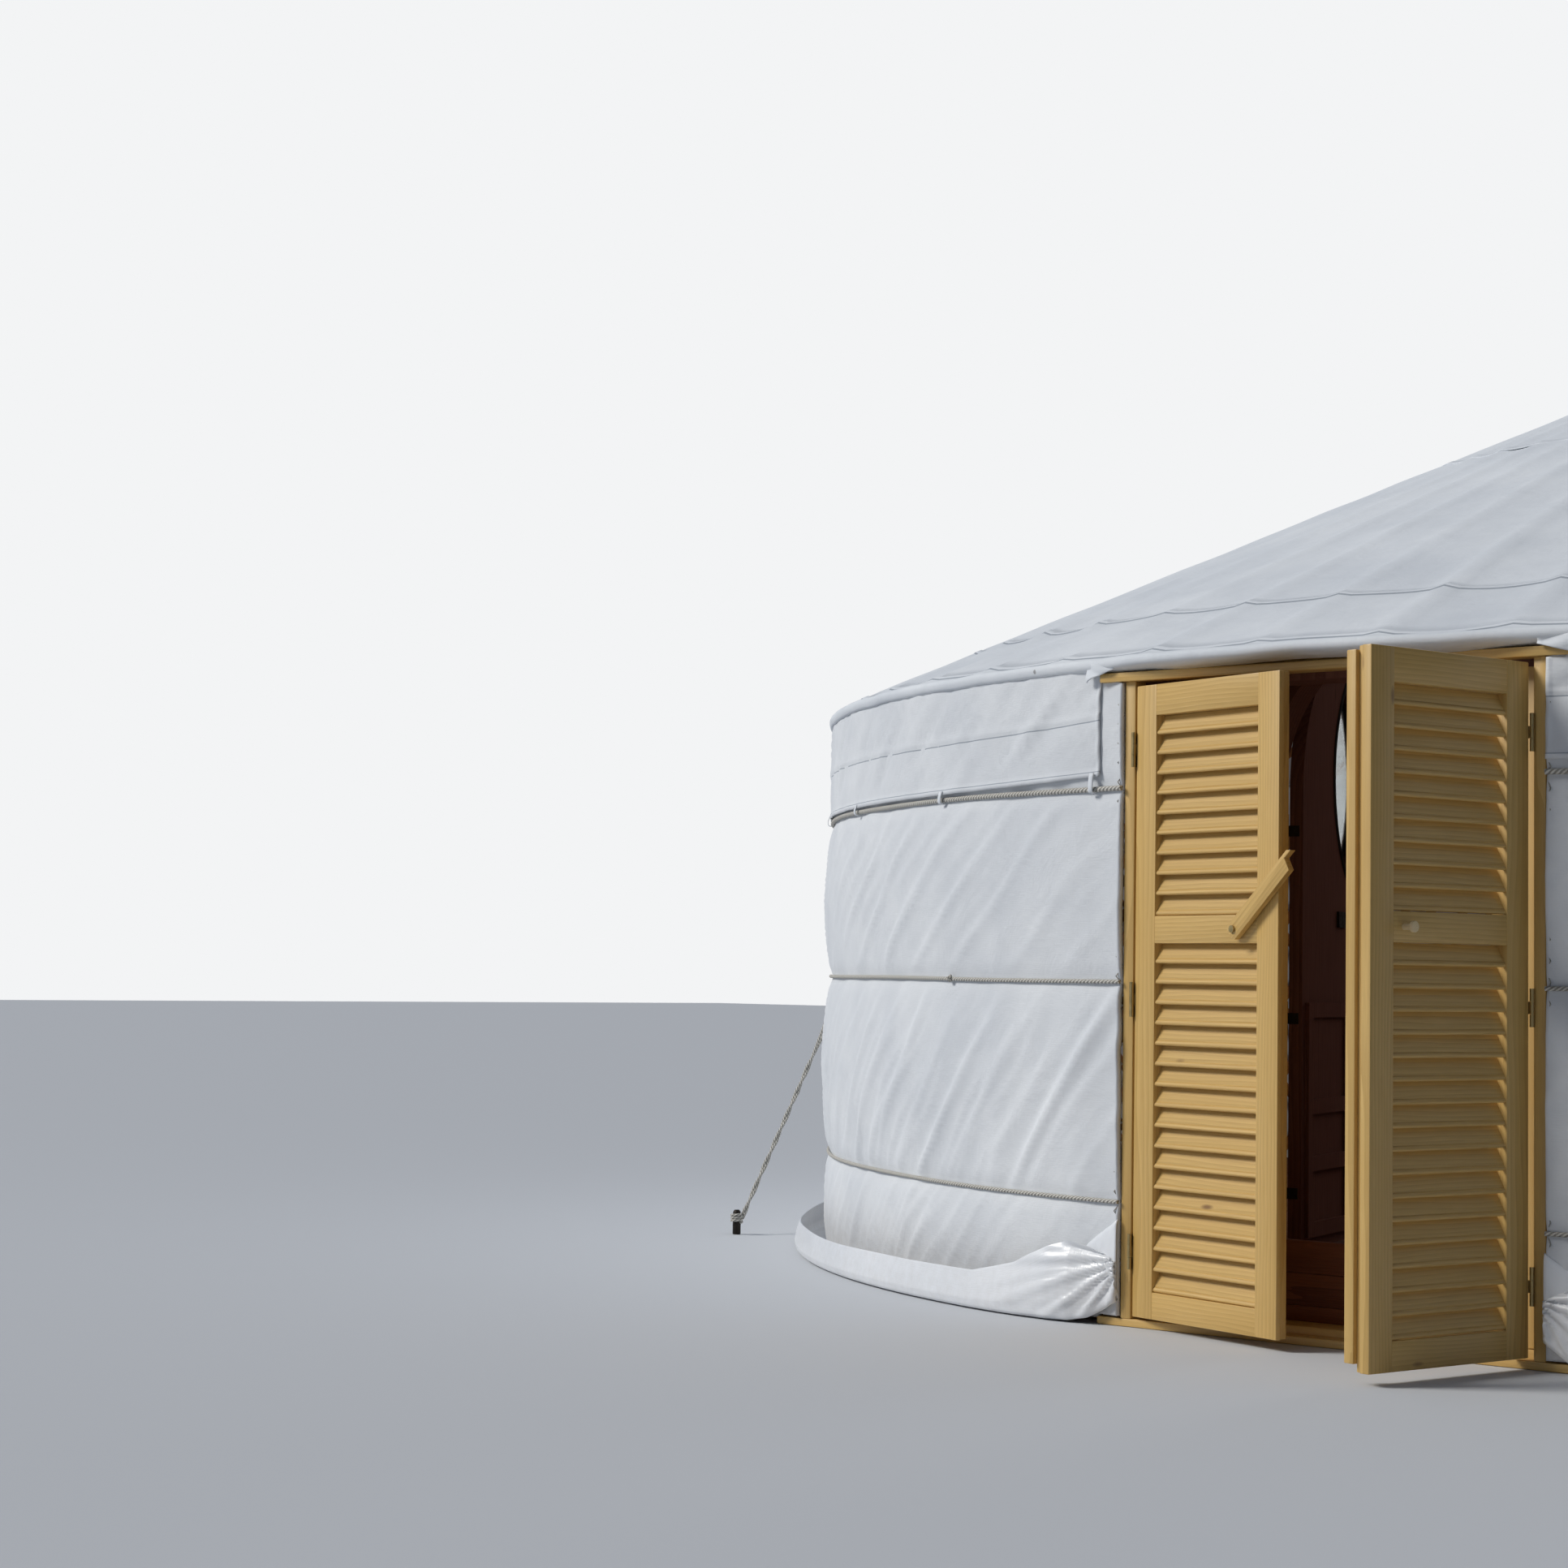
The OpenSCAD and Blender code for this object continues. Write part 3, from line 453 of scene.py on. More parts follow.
def copyNode(nodeName, along, unturn=None, bevel=0):
    # a CAD node's mesh; with a bevel, its triangles are merged to clean faces and its edges eased
    bm = bmesh.new()
    bm.from_mesh(nodes[nodeName].data)
    bmesh.ops.remove_doubles(bm, verts=bm.verts[:], dist=1e-5)
    if bevel:
        bmesh.ops.dissolve_limit(bm, angle_limit=radians(1), verts=bm.verts[:], edges=bm.edges[:])
        corners = [e for e in bm.edges if len(e.link_faces) == 2 and e.calc_face_angle(0) > radians(35)]
        bmesh.ops.bevel(bm, geom=corners, offset=bevel, offset_type="OFFSET", segments=2, profile=0.5,
                        affect="EDGES", clamp_overlap=True, material=-1)
    bmesh.ops.recalc_face_normals(bm, faces=bm.faces[:])
    setGrain(bm, along, unturn=unturn)
    return bm


# wall covers

wall = {
    "thickness": 0.018, "bottom": 0.017, "top": 1.850, "doorSide": 0.656, "overBoard": 0.735,
    "boardUnder": 1.812, "doorFoot": 0.028, "beltDip": 0.007,
    "belly": ((0.0, 0.345, 0.012), (0.345, 0.965, 0.026), (0.965, 1.513, 0.022), (1.513, 1.85, 0.006)),
    "creases": (  # spacing in degrees, lean in degrees a metre, lowest and highest, height, half width, seed
        (3.3, 14.5, 0.04, 0.98, 0.0170, 0.024, 3),
        (1.9, 15.5, 0.02, 0.92, 0.0085, 0.014, 4),
        (4.4, 20.0, 0.95, 1.56, 0.0175, 0.024, 5),
        (2.6, 26.0, 1.10, 1.56, 0.0095, 0.014, 6)),
    "power": np.random.default_rng(5).uniform(0.5, 1, 400),
}


def foldShape(away):  # a fold: steep towards the left, with a broad flank on the right
    steep = np.where(away > 0, np.exp(-(away / 0.7) ** 2), np.exp(-(away / 1.5) ** 2))
    return steep - 0.35 * np.exp(-(away / 2.6) ** 2)


def wallStandOut(turn, height):
    degrees = np.degrees(turn) % 360
    fromDoor = np.minimum(degrees, 360 - degrees)
    slack = 0.25 + 0.75 * ramp((fromDoor - 9) / 18)
    out = 0 * turn
    for low, high, amount in wall["belly"]:
        share = ramp((height - low) / (high - low))
        out = out + amount * slack * np.sin(pi * share)
    free = 1.0
    for belt in tent["beltHeights"]:
        pinch = np.exp(-((height - belt) / 0.022) ** 2)
        out = out - wall["beltDip"] * pinch
        free = free * (1 - 0.75 * pinch)
    for spacing, lean, low, high, amount, width, seed in wall["creases"]:
        place = degrees + lean * (height - 0.4) + 0.7 * ripple(degrees / 11, height * 1.2, seed)
        index = np.round(place / spacing)
        away = (place - index * spacing) * tent["metresPerDegree"] * 0.72 / width
        power = wall["power"][(index * 7 + seed * 31).astype(int) % 400]
        band = ramp((height - low) / 0.10) * ramp((high - height) / 0.12)
        patch = ramp(0.66 + 0.5 * ripple(degrees / 20, height * 0.8, seed + 50))
        out = out + amount * free * power * band * patch * slack * foldShape(away)
    # the long crease that runs up to the post under the middle rope
    path = 17.6 - 6.7 * (height - 0.39) / 0.53
    band = ramp((height - 0.30) / 0.15) * ramp((0.96 - height) / 0.10)
    out = out + band * 0.016 * foldShape((degrees - path) * tent["metresPerDegree"] * 0.75 / 0.022)
    return out + 0.0025 * ripple(degrees / 4, height * 3, 21)


def makeWallCover(name, quarter, stand):
    start = asin(tent["postSide"] / tent["wallRadius"])
    part = (2 * pi - 2 * start) / 4
    low, high = start + quarter * part, start + (quarter + 1) * part
    edge = asin(wall["doorSide"] / tent["wallRadius"])
    overBoard = asin(wall["overBoard"] / tent["wallRadius"])

    def shape(across, up):
        height = wall["bottom"] + up * (wall["top"] - wall["bottom"])
        near = np.where(height > wall["boardUnder"], overBoard, edge)
        first = np.maximum(low, near) if quarter == 0 else low
        last = np.minimum(high, 2 * pi - near) if quarter == 3 else high
        turn = first + across * (last - first)
        fromDoor = np.minimum(turn, 2 * pi - turn)
        height = np.where((up < 0.001) & (fromDoor < overBoard), wall["doorFoot"], height)
        return around(turn, tent["wallRadius"] + wallStandOut(turn, height), height)

    length = part * tent["wallRadius"]
    # the columns lie closer in the stretch beside the door
    columns = steps(360)
    if quarter in (0, 3):
        columns = np.concatenate([np.linspace(0, 0.42, 270, endpoint=False), np.linspace(0.42, 1, 110)])
    if quarter == 3:
        columns = 1 - columns[::-1]
    bm = clothSheet(columns, steps(96 if quarter in (0, 3) else 56), (length, 1.84), shape)
    piece = makeCloth(name, bm, [wallCanvas], [stand], wall["thickness"])


for quarter, side in enumerate(("FrontLeft", "BackLeft", "BackRight", "FrontRight")):
    makeWallCover("wallCover" + side, quarter, "wall_cover_" + tent["quarters"][quarter])
print("wall covers made")


# roof cover, valance and crown cap

roof = {
    "thickness": 0.010, "sag": 0.014, "ridge": 0.026, "seams": (3.169, 3.560), "seamHeight": 0.003,
    # the edge's roll: how far out and how far down
    "roll": ((0.0005, 0.001), (0.0015, 0.004), (0.0015, 0.008), (0.0005, 0.012), (-0.001, 0.015),
             (-0.005, 0.017)),
    "doorRoll": ((0.004, -0.002), (0.008, 0.001), (0.010, 0.006), (0.008, 0.010), (0.002, 0.012),
                 (-0.040, 0.025)),
}


def roofDip(turn, radius):
    # the cloth lies on the poles and sags between them
    pitch = 2 * pi / tent["poleCount"]
    place = turn / pitch - 0.5
    away = np.abs(place - np.round(place)) * pitch * radius
    share = ramp(away / (pitch * radius / 2))
    pull = 0.8 + 0.3 * ripple(radius * np.cos(turn), radius * np.sin(turn), 31)
    depth = roof["sag"] * pull * np.clip(radius / 3.0, 0.25, 1)
    return depth * (1 - np.exp(-(away / roof["ridge"]) ** 2)) * (0.55 + 0.45 * np.sin(pi / 2 * share))


def makeRoofCover():
    inner = tent["crownRadius"] - 0.02
    outer = tent["roofEdgeRadius"]
    seamLines = [seam + d for seam in roof["seams"] for d in (-0.011, -0.008, 0.008, 0.012)]
    profile = [(r, roofHeight(r)) for r in sorted([*np.linspace(inner, outer - 0.004, 56), *seamLines])]
    profile += [(outer + out, roofHeight(outer) - down) for out, down in roof["roll"]]
    radii, heights = np.array(profile).T
    count = len(profile)
    rolled = count - len(roof["roll"])
    thicker = np.array(roof["doorRoll"]) - np.array(roof["roll"])

    def shape(across, up):
        turn = 2 * pi * across
        index = up * (count - 1)
        radius = atStep(index, radii)
        height = atStep(index, heights)
        seam = roof["seamHeight"] * sum(np.abs(radius - r) < 0.009 for r in roof["seams"])
        inside = ramp((outer - radius) / 0.02)
        height = height - inside * roofDip(turn, radius) + seam
        # the inner edge lies low on the crown, under the cap
        height = height - 0.012 * ramp((0.86 - radius) / 0.10)
        east, north = radius * np.cos(turn), radius * np.sin(turn)
        height = height + 0.002 * ripple(east * 3, north * 3, 32)
        # over the door the edge is rolled thicker
        fromDoor = np.degrees(np.minimum(turn, 2 * pi - turn))
        atDoor = ramp((13.5 - fromDoor) / 2.5)
        step = np.clip(index - rolled, 0, 5)
        onRoll = atDoor * (index >= rolled)
        radius = radius + onRoll * atStep(step, thicker[:, 0])
        height = height - onRoll * atStep(step, thicker[:, 1])
        loose = ramp((index - rolled + 1) / 4) * (0.25 + 0.75 * atDoor)
        radius = radius + loose * 0.003 * ripple(east * 2, north * 2, 33)
        height = height + loose * 0.004 * ripple(east * 2.6, north * 2.6, 34)
        return around(turn, radius, height)

    # the faces on the step just outside each seam take the painted seam shadow
    def sewn(across, up):
        radius = atStep(up * (count - 1), radii)
        return any(abs(radius - seam - 0.010) < 0.002 for seam in roof["seams"])

    bm = clothSheet(steps(8 * tent["poleCount"] + 1), steps(count), (22.6, 3.2), shape, seamShade=sewn)
    bmesh.ops.remove_doubles(bm, verts=bm.verts[:], dist=1e-5)
    stands = ["roof_cover_" + quarter for quarter in tent["quarters"]]
    piece = makeCloth("roofCover", bm, [roofCanvas, seamShadow], stands, roof["thickness"])


makeRoofCover()

valance = {
    "thickness": 0.003, "left": radians(11.8), "right": radians(10.5), "top": 1.866, "underBoard": 1.811,
    "boardEnd": radians(11.85), "radius": 3.6070, "hem": 1.524, "hemRise": 0.025, "seam": 1.679,
    "seamRise": 0.036, "length": 20.95, "loopPitch": 12.0, "loopFirst": 12.2, "loopWidth": 0.018,
    "flapRadius": 3.6165, "flapTop": 1.871,
    # the hem's fold, up to the seam, the seam itself and up to the roof's edge
    "marks": (0, 0.04, 0.05, 0.44, 0.455, 0.47, 1),
}


def valanceRise(turn):  # the hem and the seam climb a little towards the door
    fromDoor = np.degrees(np.minimum(turn, 2 * pi - turn)) - 11.7
    return np.exp(-np.maximum(fromDoor, 0) / 8)


def valanceShape(across, up):
    turn = valance["left"] + across * (2 * pi - valance["left"] - valance["right"])
    rise = valanceRise(turn)
    hem = valance["hem"] + valance["hemRise"] * rise
    seam = valance["seam"] + valance["seamRise"] * rise
    # right of the door the cloth passes under the front board's end
    top = np.where(2 * pi - turn < valance["boardEnd"], valance["underBoard"], valance["top"])
    height = alongMarks(up, valance["marks"], (
        hem, hem + 0.013, hem + 0.016, seam - 0.007, seam - 0.0035, seam + 0.004, top))
    low = 1 - up
    out = 0.003 * low * (1 + ripple(turn * 9, height * 2, 41))
    out = out + 0.0018 * ripple(turn * 26, height * 6, 42) * (0.4 + low)
    # soft creases that lean towards the door
    out = out + 0.0045 * ripple((turn * 3.6 + height * 1.1) * 8, height * 1.5, 43) * (0.3 + np.sin(pi * up))
    # the seam, the hem and the ends are of two layers
    fromEnd = np.minimum(across, 1 - across) * valance["length"]
    for double in ((up >= 0.455) & (up < 0.5), up < 0.045, fromEnd < 0.016):
        out = out + np.where(double, 0.0022, 0)
    out = out - 0.001 * ramp((up - 0.9) / 0.1) - 0.004 * ramp(1 - fromEnd / 0.08)
    return around(turn, valance["radius"] + out, height)


# the faces along the seam and along the hem take the painted seam shadow
def valanceSeamShadow(across, up):
    return 0.44 < up < 0.455 or 0.04 < up < 0.05


def makeBeltLoops():
    loops = bmesh.new()
    loops.loops.layers.uv.new("cut")
    spread = 360 - 2 * valance["loopFirst"]
    count = int(spread / valance["loopPitch"])
    for k in range(count + 1):
        turn = radians(valance["loopFirst"] + k * spread / count)
        hem = valance["hem"] + valance["hemRise"] * float(valanceRise(turn))
        path = np.array(((3.6145, hem + 0.012), (3.6185, hem - 0.001), (3.6205, 1.5205), (3.6205, 1.508),
                         (3.616, 1.501), (3.606, 1.500)))

        def loopShape(across, up):
            radius, height = (atStep(up * (len(path) - 1), values) for values in path.T)
            return around(turn + (across - 0.5) * valance["loopWidth"] / tent["wallRadius"], radius, height)

        joinInto(loops, clothSheet(steps(4), steps(6), (valance["loopWidth"], 0.06), loopShape, flip=False))
    return makeCloth("beltLoops", loops, [roofCanvas], (), 0.002)


def makeCornerFlaps():
    # the valance's top corners are folded over the front board's ends
    flaps = bmesh.new()
    flaps.loops.layers.uv.new("cut")
    for side, outer, tip, drop in ((1, 12.5, 10.7, 0.052), (-1, 13.2, 10.2, 0.075)):
        def flapShape(across, up):
            turn = np.radians(outer + across * (tip - outer)) * side
            depth = drop * (1 - 0.72 * across)
            curl = np.sin(pi * ramp(across * 1.1)) * 0.012 + 0.004 * np.sin(9 * across + 5 * up)
            height = valance["flapTop"] - depth * (1 - up) - 0.006 * across
            return around(turn, valance["flapRadius"] + curl * (1 - 0.4 * up), height)

        joinInto(flaps, clothSheet(steps(18), steps(10), (0.11, 0.06), flapShape, flip=side > 0))
    return makeCloth("cornerFlaps", flaps, [roofCanvas], (), 0.003)


def makeValance():
    share = 1 / valance["length"]
    ends = [end * share for end in (0, 0.010, 0.016, 0.02)]
    columns = sorted([*ends, *np.linspace(0.05 * share, 1 - 0.05 * share, 560), *(1 - end for end in ends)])
    rows = sorted([*valance["marks"][:-1], *np.linspace(0.09, 0.41, 10), *np.linspace(0.5, 1, 16)])
    bm = clothSheet(columns, rows, (valance["length"], 0.34), valanceShape, seamShade=valanceSeamShadow)
    piece = makeCloth("valanceCloth", bm, [wallCanvas, seamShadow], ["valance"], valance["thickness"])
    makeBeltLoops()
    makeCornerFlaps()


makeValance()

cap = {"radius": 1.570, "thickness": 0.003, "lift": 0.0075, "hem": 0.032, "hemHeight": 0.0022}


def makeCrownCap():
    inner = tent["crownRadius"] - 0.02
    domeRadius = inner / sin(tent["roofPitch"])
    domeHeight = roofHeight(inner) - domeRadius * cos(tent["roofPitch"])
    hemLines = [cap["radius"] - d for d in (0.034, 0.030, 0.006, 0.0)]
    radii = np.array(sorted([0.0005, *np.linspace(0.03, cap["radius"] - 0.04, 34), *hemLines]))

    def shape(across, up):
        turn = 2 * pi * across
        radius = atStep(up * (len(radii) - 1), radii)
        dome = domeHeight + np.sqrt(np.maximum(domeRadius ** 2 - radius ** 2, 0))
        onRoof = ramp((radius - 0.80) / 0.35)
        height = np.where(radius < inner, dome, roofHeight(radius)) + cap["lift"]
        height = height - onRoof * roofDip(turn, radius) * 0.9
        height = height + np.where(radius > cap["radius"] - cap["hem"], cap["hemHeight"], 0)
        east, north = radius * np.cos(turn), radius * np.sin(turn)
        height = height + 0.002 * ripple(east * 3, north * 3, 51)
        return around(turn, radius + 0.003 * ripple(east * 4, north * 4, 52) * (radius > 1.5), height)

    bm = clothSheet(steps(6 * tent["poleCount"] + 1), steps(len(radii)), (9.86, 1.66), shape)
    bmesh.ops.remove_doubles(bm, verts=bm.verts[:], dist=1e-5)
    piece = makeCloth("crownCap", bm, [roofCanvas], ["crown_cap"], cap["thickness"])


makeCrownCap()
print("roof made")


# skirt

skirt = {
    "thickness": 0.002, "start": asin(0.6525 / 3.604), "length": 22.0,
    # heights and radii along the skirt, in degrees from the door: it rises to the post and is gathered there
    "turns": (10.4, 11.0, 11.8, 12.8, 14.0, 16.0, 19.0, 25.0),
    "sewnHeights": (0.300, 0.275, 0.245, 0.200, 0.140, 0.070, 0.020, 0.020),
    "edgeHeights": (0.175, 0.195, 0.215, 0.228, 0.205, 0.150, 0.110, 0.101),
    "edgeRadii": (3.609, 3.613, 3.624, 3.644, 3.662, 3.680, 3.692, 3.694),
    "footHeights": (0.075, 0.050, 0.020, 0.006, 0.005, 0.005, 0.005, 0.005),
    "footRadii": (3.607, 3.618, 3.638, 3.662, 3.678, 3.693, 3.702, 3.704),
    # from the sewn edge down to the foot, out along the ground and up to the free edge
    "marks": (0, 0.05, 0.16, 0.42, 0.48, 0.54, 0.64, 0.78, 0.90, 0.96, 1.0),
}


def skirtShape(across, up):
    turn = skirt["start"] + across * (2 * pi - 2 * skirt["start"])
    fromDoor = np.degrees(np.minimum(turn, 2 * pi - turn))
    sewn, edge, edgeRadius, foot, footRadius = (np.interp(fromDoor, skirt["turns"], skirt[key]) for key in (
        "sewnHeights", "edgeHeights", "edgeRadii", "footHeights", "footRadii"))
    edge = edge + 0.005 * ripple(turn * 3, 0, 61)
    bulge = footRadius + 0.011 * np.clip((fromDoor - 10.2) / 2.5, 0.15, 1)
    radius = alongMarks(up, skirt["marks"], (
        3.6035, 3.610, 0.65 * 3.612 + 0.35 * footRadius, footRadius - 0.012, footRadius, footRadius + 0.006,
        bulge, 0.5 * (bulge + edgeRadius) + 0.004, edgeRadius + 0.006, edgeRadius + 0.003, edgeRadius))
    rise = edge - foot
    height = alongMarks(up, skirt["marks"], (
        sewn, sewn - 0.010, foot + 0.15 * (sewn - foot), foot, foot + 0.001, foot + 0.008, foot + 0.25 * rise,
        foot + 0.62 * rise, foot + 0.90 * rise, foot + rise, foot + 0.985 * rise))
    # pleats run out from the post
    near = ramp((18 - fromDoor) / 7)
    lip = ramp((up - 0.45) / 0.2)
    way = np.arctan2(height - 0.185, (fromDoor - 10.0) * 0.063)
    pleats = 0.7 * np.cos(way * 21 + 1.2 * ripple(turn * 4, height * 3, 63)) + 0.4 * np.cos(way * 43 + 2)
    radius = radius + near ** 0.7 * 0.0055 * (0.25 + lip) * pleats + lip * 0.0012 * ripple(turn * 6, up, 62)
    height = height + near * 0.003 * ripple(turn * 10, up * 6, 65) * (up > 0.1)
    return around(turn, radius, np.maximum(height, 0.004))


near = np.linspace(0, 0.035, 90)
columns = np.array([*near, *np.linspace(0.0365, 0.9635, 420), *(1 - near[::-1])])
bm = clothSheet(columns, steps(56), (skirt["length"], 0.26), skirtShape, flip=False)
piece = makeCloth("skirtSheet", bm, [coatedSheet], ["skirt"], skirt["thickness"])
print("skirt made")


# ropes and stakes

ropes = {"belts": ((0.0075, "upper_rope", "upperBelt"), (0.006, "middle_rope", "middleBelt"),
                   (0.006, "lower_rope", "lowerBelt")), "start": 0.6535, "knotTurn": radians(23.6)}


def addKnot(bm, place, direction, size, radius):
    # one rope turned over itself
    direction = direction.normalized()
    side = direction.orthogonal().normalized()
    up = direction.cross(side)
    points = []
    for k in range(25):
        t = 2 * pi * k / 24
        loop = side * (sin(t) + 2 * sin(2 * t)) / 3 + up * (cos(t) - 2 * cos(2 * t)) / 3
        points.append(place + size * (loop - direction * sin(3 * t) * 0.5))
    addTube(bm, points, radius, sides=6)


for (radius, node, name), height in zip(ropes["belts"], tent["beltHeights"]):
    bm = startBoards()
    first = asin(ropes["start"] / tent["wallRadius"])
    turns = np.linspace(first, 2 * pi - first, 420)
    heights = height + 0.0025 * ripple(turns * 3, turns * 0, int(height * 1000))
    outs = np.maximum(wallStandOut(turns, heights) + radius * 0.9, 0.002)
    addTube(bm, [spot(t, tent["wallRadius"] + out, h) for t, out, h in zip(turns, outs, heights)], radius)
    if name == "middleBelt":
        place = spot(ropes["knotTurn"], tent["wallRadius"] + 0.009, height)
        addKnot(bm, place, Vector((1, 0, 0)), 0.009, 0.0042)
    makePiece(name, bm, "tent", [hempRope], [node], sharp=80)

# a thin cord laces the wall cover to each post
lacing = {"first": 0.10, "pitch": 0.0275, "count": 62, "radius": 0.0018,
          "ends": ((0.668, -3.5405), (0.6525, -3.528))}  # on the cloth and on the post
bm = startBoards()
for side in (-1, 1):
    path = []
    for k in range(lacing["count"]):
        x, y = lacing["ends"][k % 2]
        path.append((side * x, y, lacing["first"] + k * lacing["pitch"]))
    addTube(bm, path, lacing["radius"], sides=5)
makePiece("jambLacing", bm, "tent", [hempRope], (), sharp=80)

guys = {"stakeTurn": 57, "lean": 15, "strandSpread": 4, "stakeRadius": 3.97, "ropeRadius": 0.005,
        "join": 0.42, "footHeight": 0.060, "wrap": 0.0195, "knotPlace": 0.45}
bm = startBoards()
stakes = startBoards()
for turn, way in ((guys["stakeTurn"], 1), (180 - guys["stakeTurn"], -1),
                  (180 + guys["stakeTurn"], 1), (360 - guys["stakeTurn"], -1)):
    peg = spot(radians(turn), guys["stakeRadius"], 0)
    tops = [spot(radians(turn + way * (guys["lean"] + guys["strandSpread"] * k)), tent["wallRadius"] + 0.022,
                 tent["beltHeights"][0]) for k in (0, 1)]
    foot = peg + Vector((0, 0, guys["footHeight"])) - peg.normalized() * 0.019
    join = foot.lerp((tops[0] + tops[1]) / 2, guys["join"])
    axis = (foot - join).normalized()
    one = axis.cross(Vector((0, 0, 1))).normalized()
    two = axis.cross(one)
    for k, top in enumerate(tops):
        sideways = (tops[1] - tops[0]).normalized() * (0.005 if k else -0.005)
        twist = []
        for step in range(1, 21):
            a = pi * 7 * step / 20 + pi * k
            twist.append(join.lerp(foot, step / 20) + (one * cos(a) + two * sin(a)) * guys["ropeRadius"])
        addTube(bm, [top, top.lerp(join, 0.5), join + sideways] + twist, guys["ropeRadius"])
        addKnot(bm, top + (join - top).normalized() * 0.012, join - top, 0.013, guys["ropeRadius"] * 0.9)
    tail = join.lerp(tops[1], guys["knotPlace"])
    addKnot(bm, tail, tops[1] - join, 0.014, guys["ropeRadius"])
    hang = [tail + Vector(drop) for drop in ((0, 0, 0), (0.012, 0, -0.03), (0.010, 0.004, -0.095))]
    addTube(bm, hang, guys["ropeRadius"] * 0.9, sides=6)
    # three turns of rope round the peg
    wraps = []
    for step in range(49):
        a = 2 * pi * step / 16
        wraps.append(peg + Vector((cos(a) * guys["wrap"], sin(a) * guys["wrap"], 0.044 + 0.010 * step / 16)))
    addTube(bm, wraps, guys["ropeRadius"], sides=6)
    addTube(stakes, [peg + Vector((0, 0, z)) for z in (0.0, 0.002, 0.075, 0.084, 0.090)],
            [0.0145, 0.015, 0.015, 0.0135, 0.009], sides=16)
makePiece("guyRopes", bm, "tent", [hempRope], ["guy_ropes"], sharp=80)
makePiece("stakePegs", stakes, "tent", [blackIron], ["stakes"], sharp=50)
print("ropes made")


# lattice, poles and crown

lattice = {"barWidth": 0.034, "barDepth": 0.012, "innerRadius": 3.533, "outerRadius": 3.546, "top": 1.792,
           "bars": 72, "tilt": radians(50), "knotRadius": 3.518}
latticeFirst = radians(10.95)
latticeLast = 2 * pi - latticeFirst
latticePitch = (latticeLast - latticeFirst) / lattice["bars"]


def latticeSpread(radius):  # how far a bar goes round the wall from its foot to its head
    return lattice["top"] / tan(lattice["tilt"]) / radius


def makeLattice(name, radius, way, stands):
    bm = startBoards()
    bm.loops.layers.uv.new("cut")
    spread = latticeSpread(radius)
    beyond = int(spread / latticePitch)
    for k in range(-beyond - 1, lattice["bars"] + beyond + 1):
        start = latticeFirst + (k + 0.5) * latticePitch
        # the share of the bar that stands between the door's two sides
        ends = sorted((end - start) / (way * spread) for end in (latticeFirst + 0.006, latticeLast - 0.006))
        low, high = max(0.0, ends[0]), min(1.0, ends[1])
        if high - low < 0.05:
            continue

        def shape(across, up):
            share = low + up * (high - low)
            along = (across - 0.5) * lattice["barWidth"]
            height = share * lattice["top"] - way * along * cos(lattice["tilt"])
            turn = start + way * share * spread + along * sin(lattice["tilt"]) / radius
            turn = np.clip(turn, latticeFirst, latticeLast)
            return around(turn, radius, np.clip(height, 0.002, lattice["top"]))

        strip = clothSheet(steps(2), steps(15), (lattice["barWidth"], 2.3), shape)
        layer = strip.verts.layers.float_vector.new("grain")
        move = (chance.uniform(-9, 9), chance.uniform(-0.05, 0.05), chance.uniform(0.04, 0.12))
        for i, vert in enumerate(strip.verts):
            along = vert.co.z / sin(lattice["tilt"])
            vert[layer] = (along + move[0], (i % 2) * lattice["barWidth"] + move[1], move[2])
        joinInto(bm, strip)
    makePiece(name, bm, "tent", [oiledPine], stands, sharp=30, thickness=lattice["barDepth"])


makeLattice("latticeOuter", lattice["outerRadius"], 1, ["lattice_front_left", "lattice_back_left"])
makeLattice("latticeInner", lattice["innerRadius"], -1, ["lattice_back_right", "lattice_front_right"])

# knotted leather ends where the bars cross
bm = startBoards()
for i in range(-8, lattice["bars"] + 8):
    for j in range(-8, lattice["bars"] + 8):
        share = (j - i) * latticePitch / (2 * latticeSpread(3.54))
        turn = latticeFirst + ((i + j) / 2 + 0.5) * latticePitch
        if 0.02 < share < 0.98 and latticeFirst + 0.01 < turn < latticeLast - 0.01:
            head = bmesh.new()
            turned = spot(turn, 1, 0).to_track_quat("-Z", "Y").to_matrix().to_4x4()
            place = Matrix.Translation(spot(turn, lattice["knotRadius"], share * lattice["top"]))
            bmesh.ops.create_cone(head, cap_ends=True, segments=6, radius1=0.008, radius2=0.004, depth=0.006,
                                  matrix=place @ turned)
            joinInto(bm, head)
makePiece("latticeKnots", bm, "tent", [stainedPine], (), sharp=30)

poles = {"radius": 0.018, "drop": 0.0511, "foot": 3.534, "doorFoot": 3.487, "overDoor": radians(12.9)}
bm = startBoards()
for k in range(tent["poleCount"]):
    turn = (k + 0.5) * 2 * pi / tent["poleCount"]
    foot = poles["doorFoot"] if min(turn, 2 * pi - turn) < poles["overDoor"] else poles["foot"]
    stations = np.linspace(foot, tent["crownRadius"] + 0.001, 7)
    thick = np.interp(steps(7), [0, 0.06, 0.8, 1], [0.013, poles["radius"], poles["radius"], 0.014])
    addTube(bm, [spot(turn, r, roofHeight(r) - poles["drop"]) for r in stations], list(thick), sides=10)
makePiece("roofPoles", bm, "tent", [oiledPine], ["roof_poles_" + quarter for quarter in tent["quarters"]],
          sharp=60)
makePiece("crownRing", copyNode("crown", 0), "tent", [oiledPine], ["crown"])
print("lattice, poles and crown made")


# floor

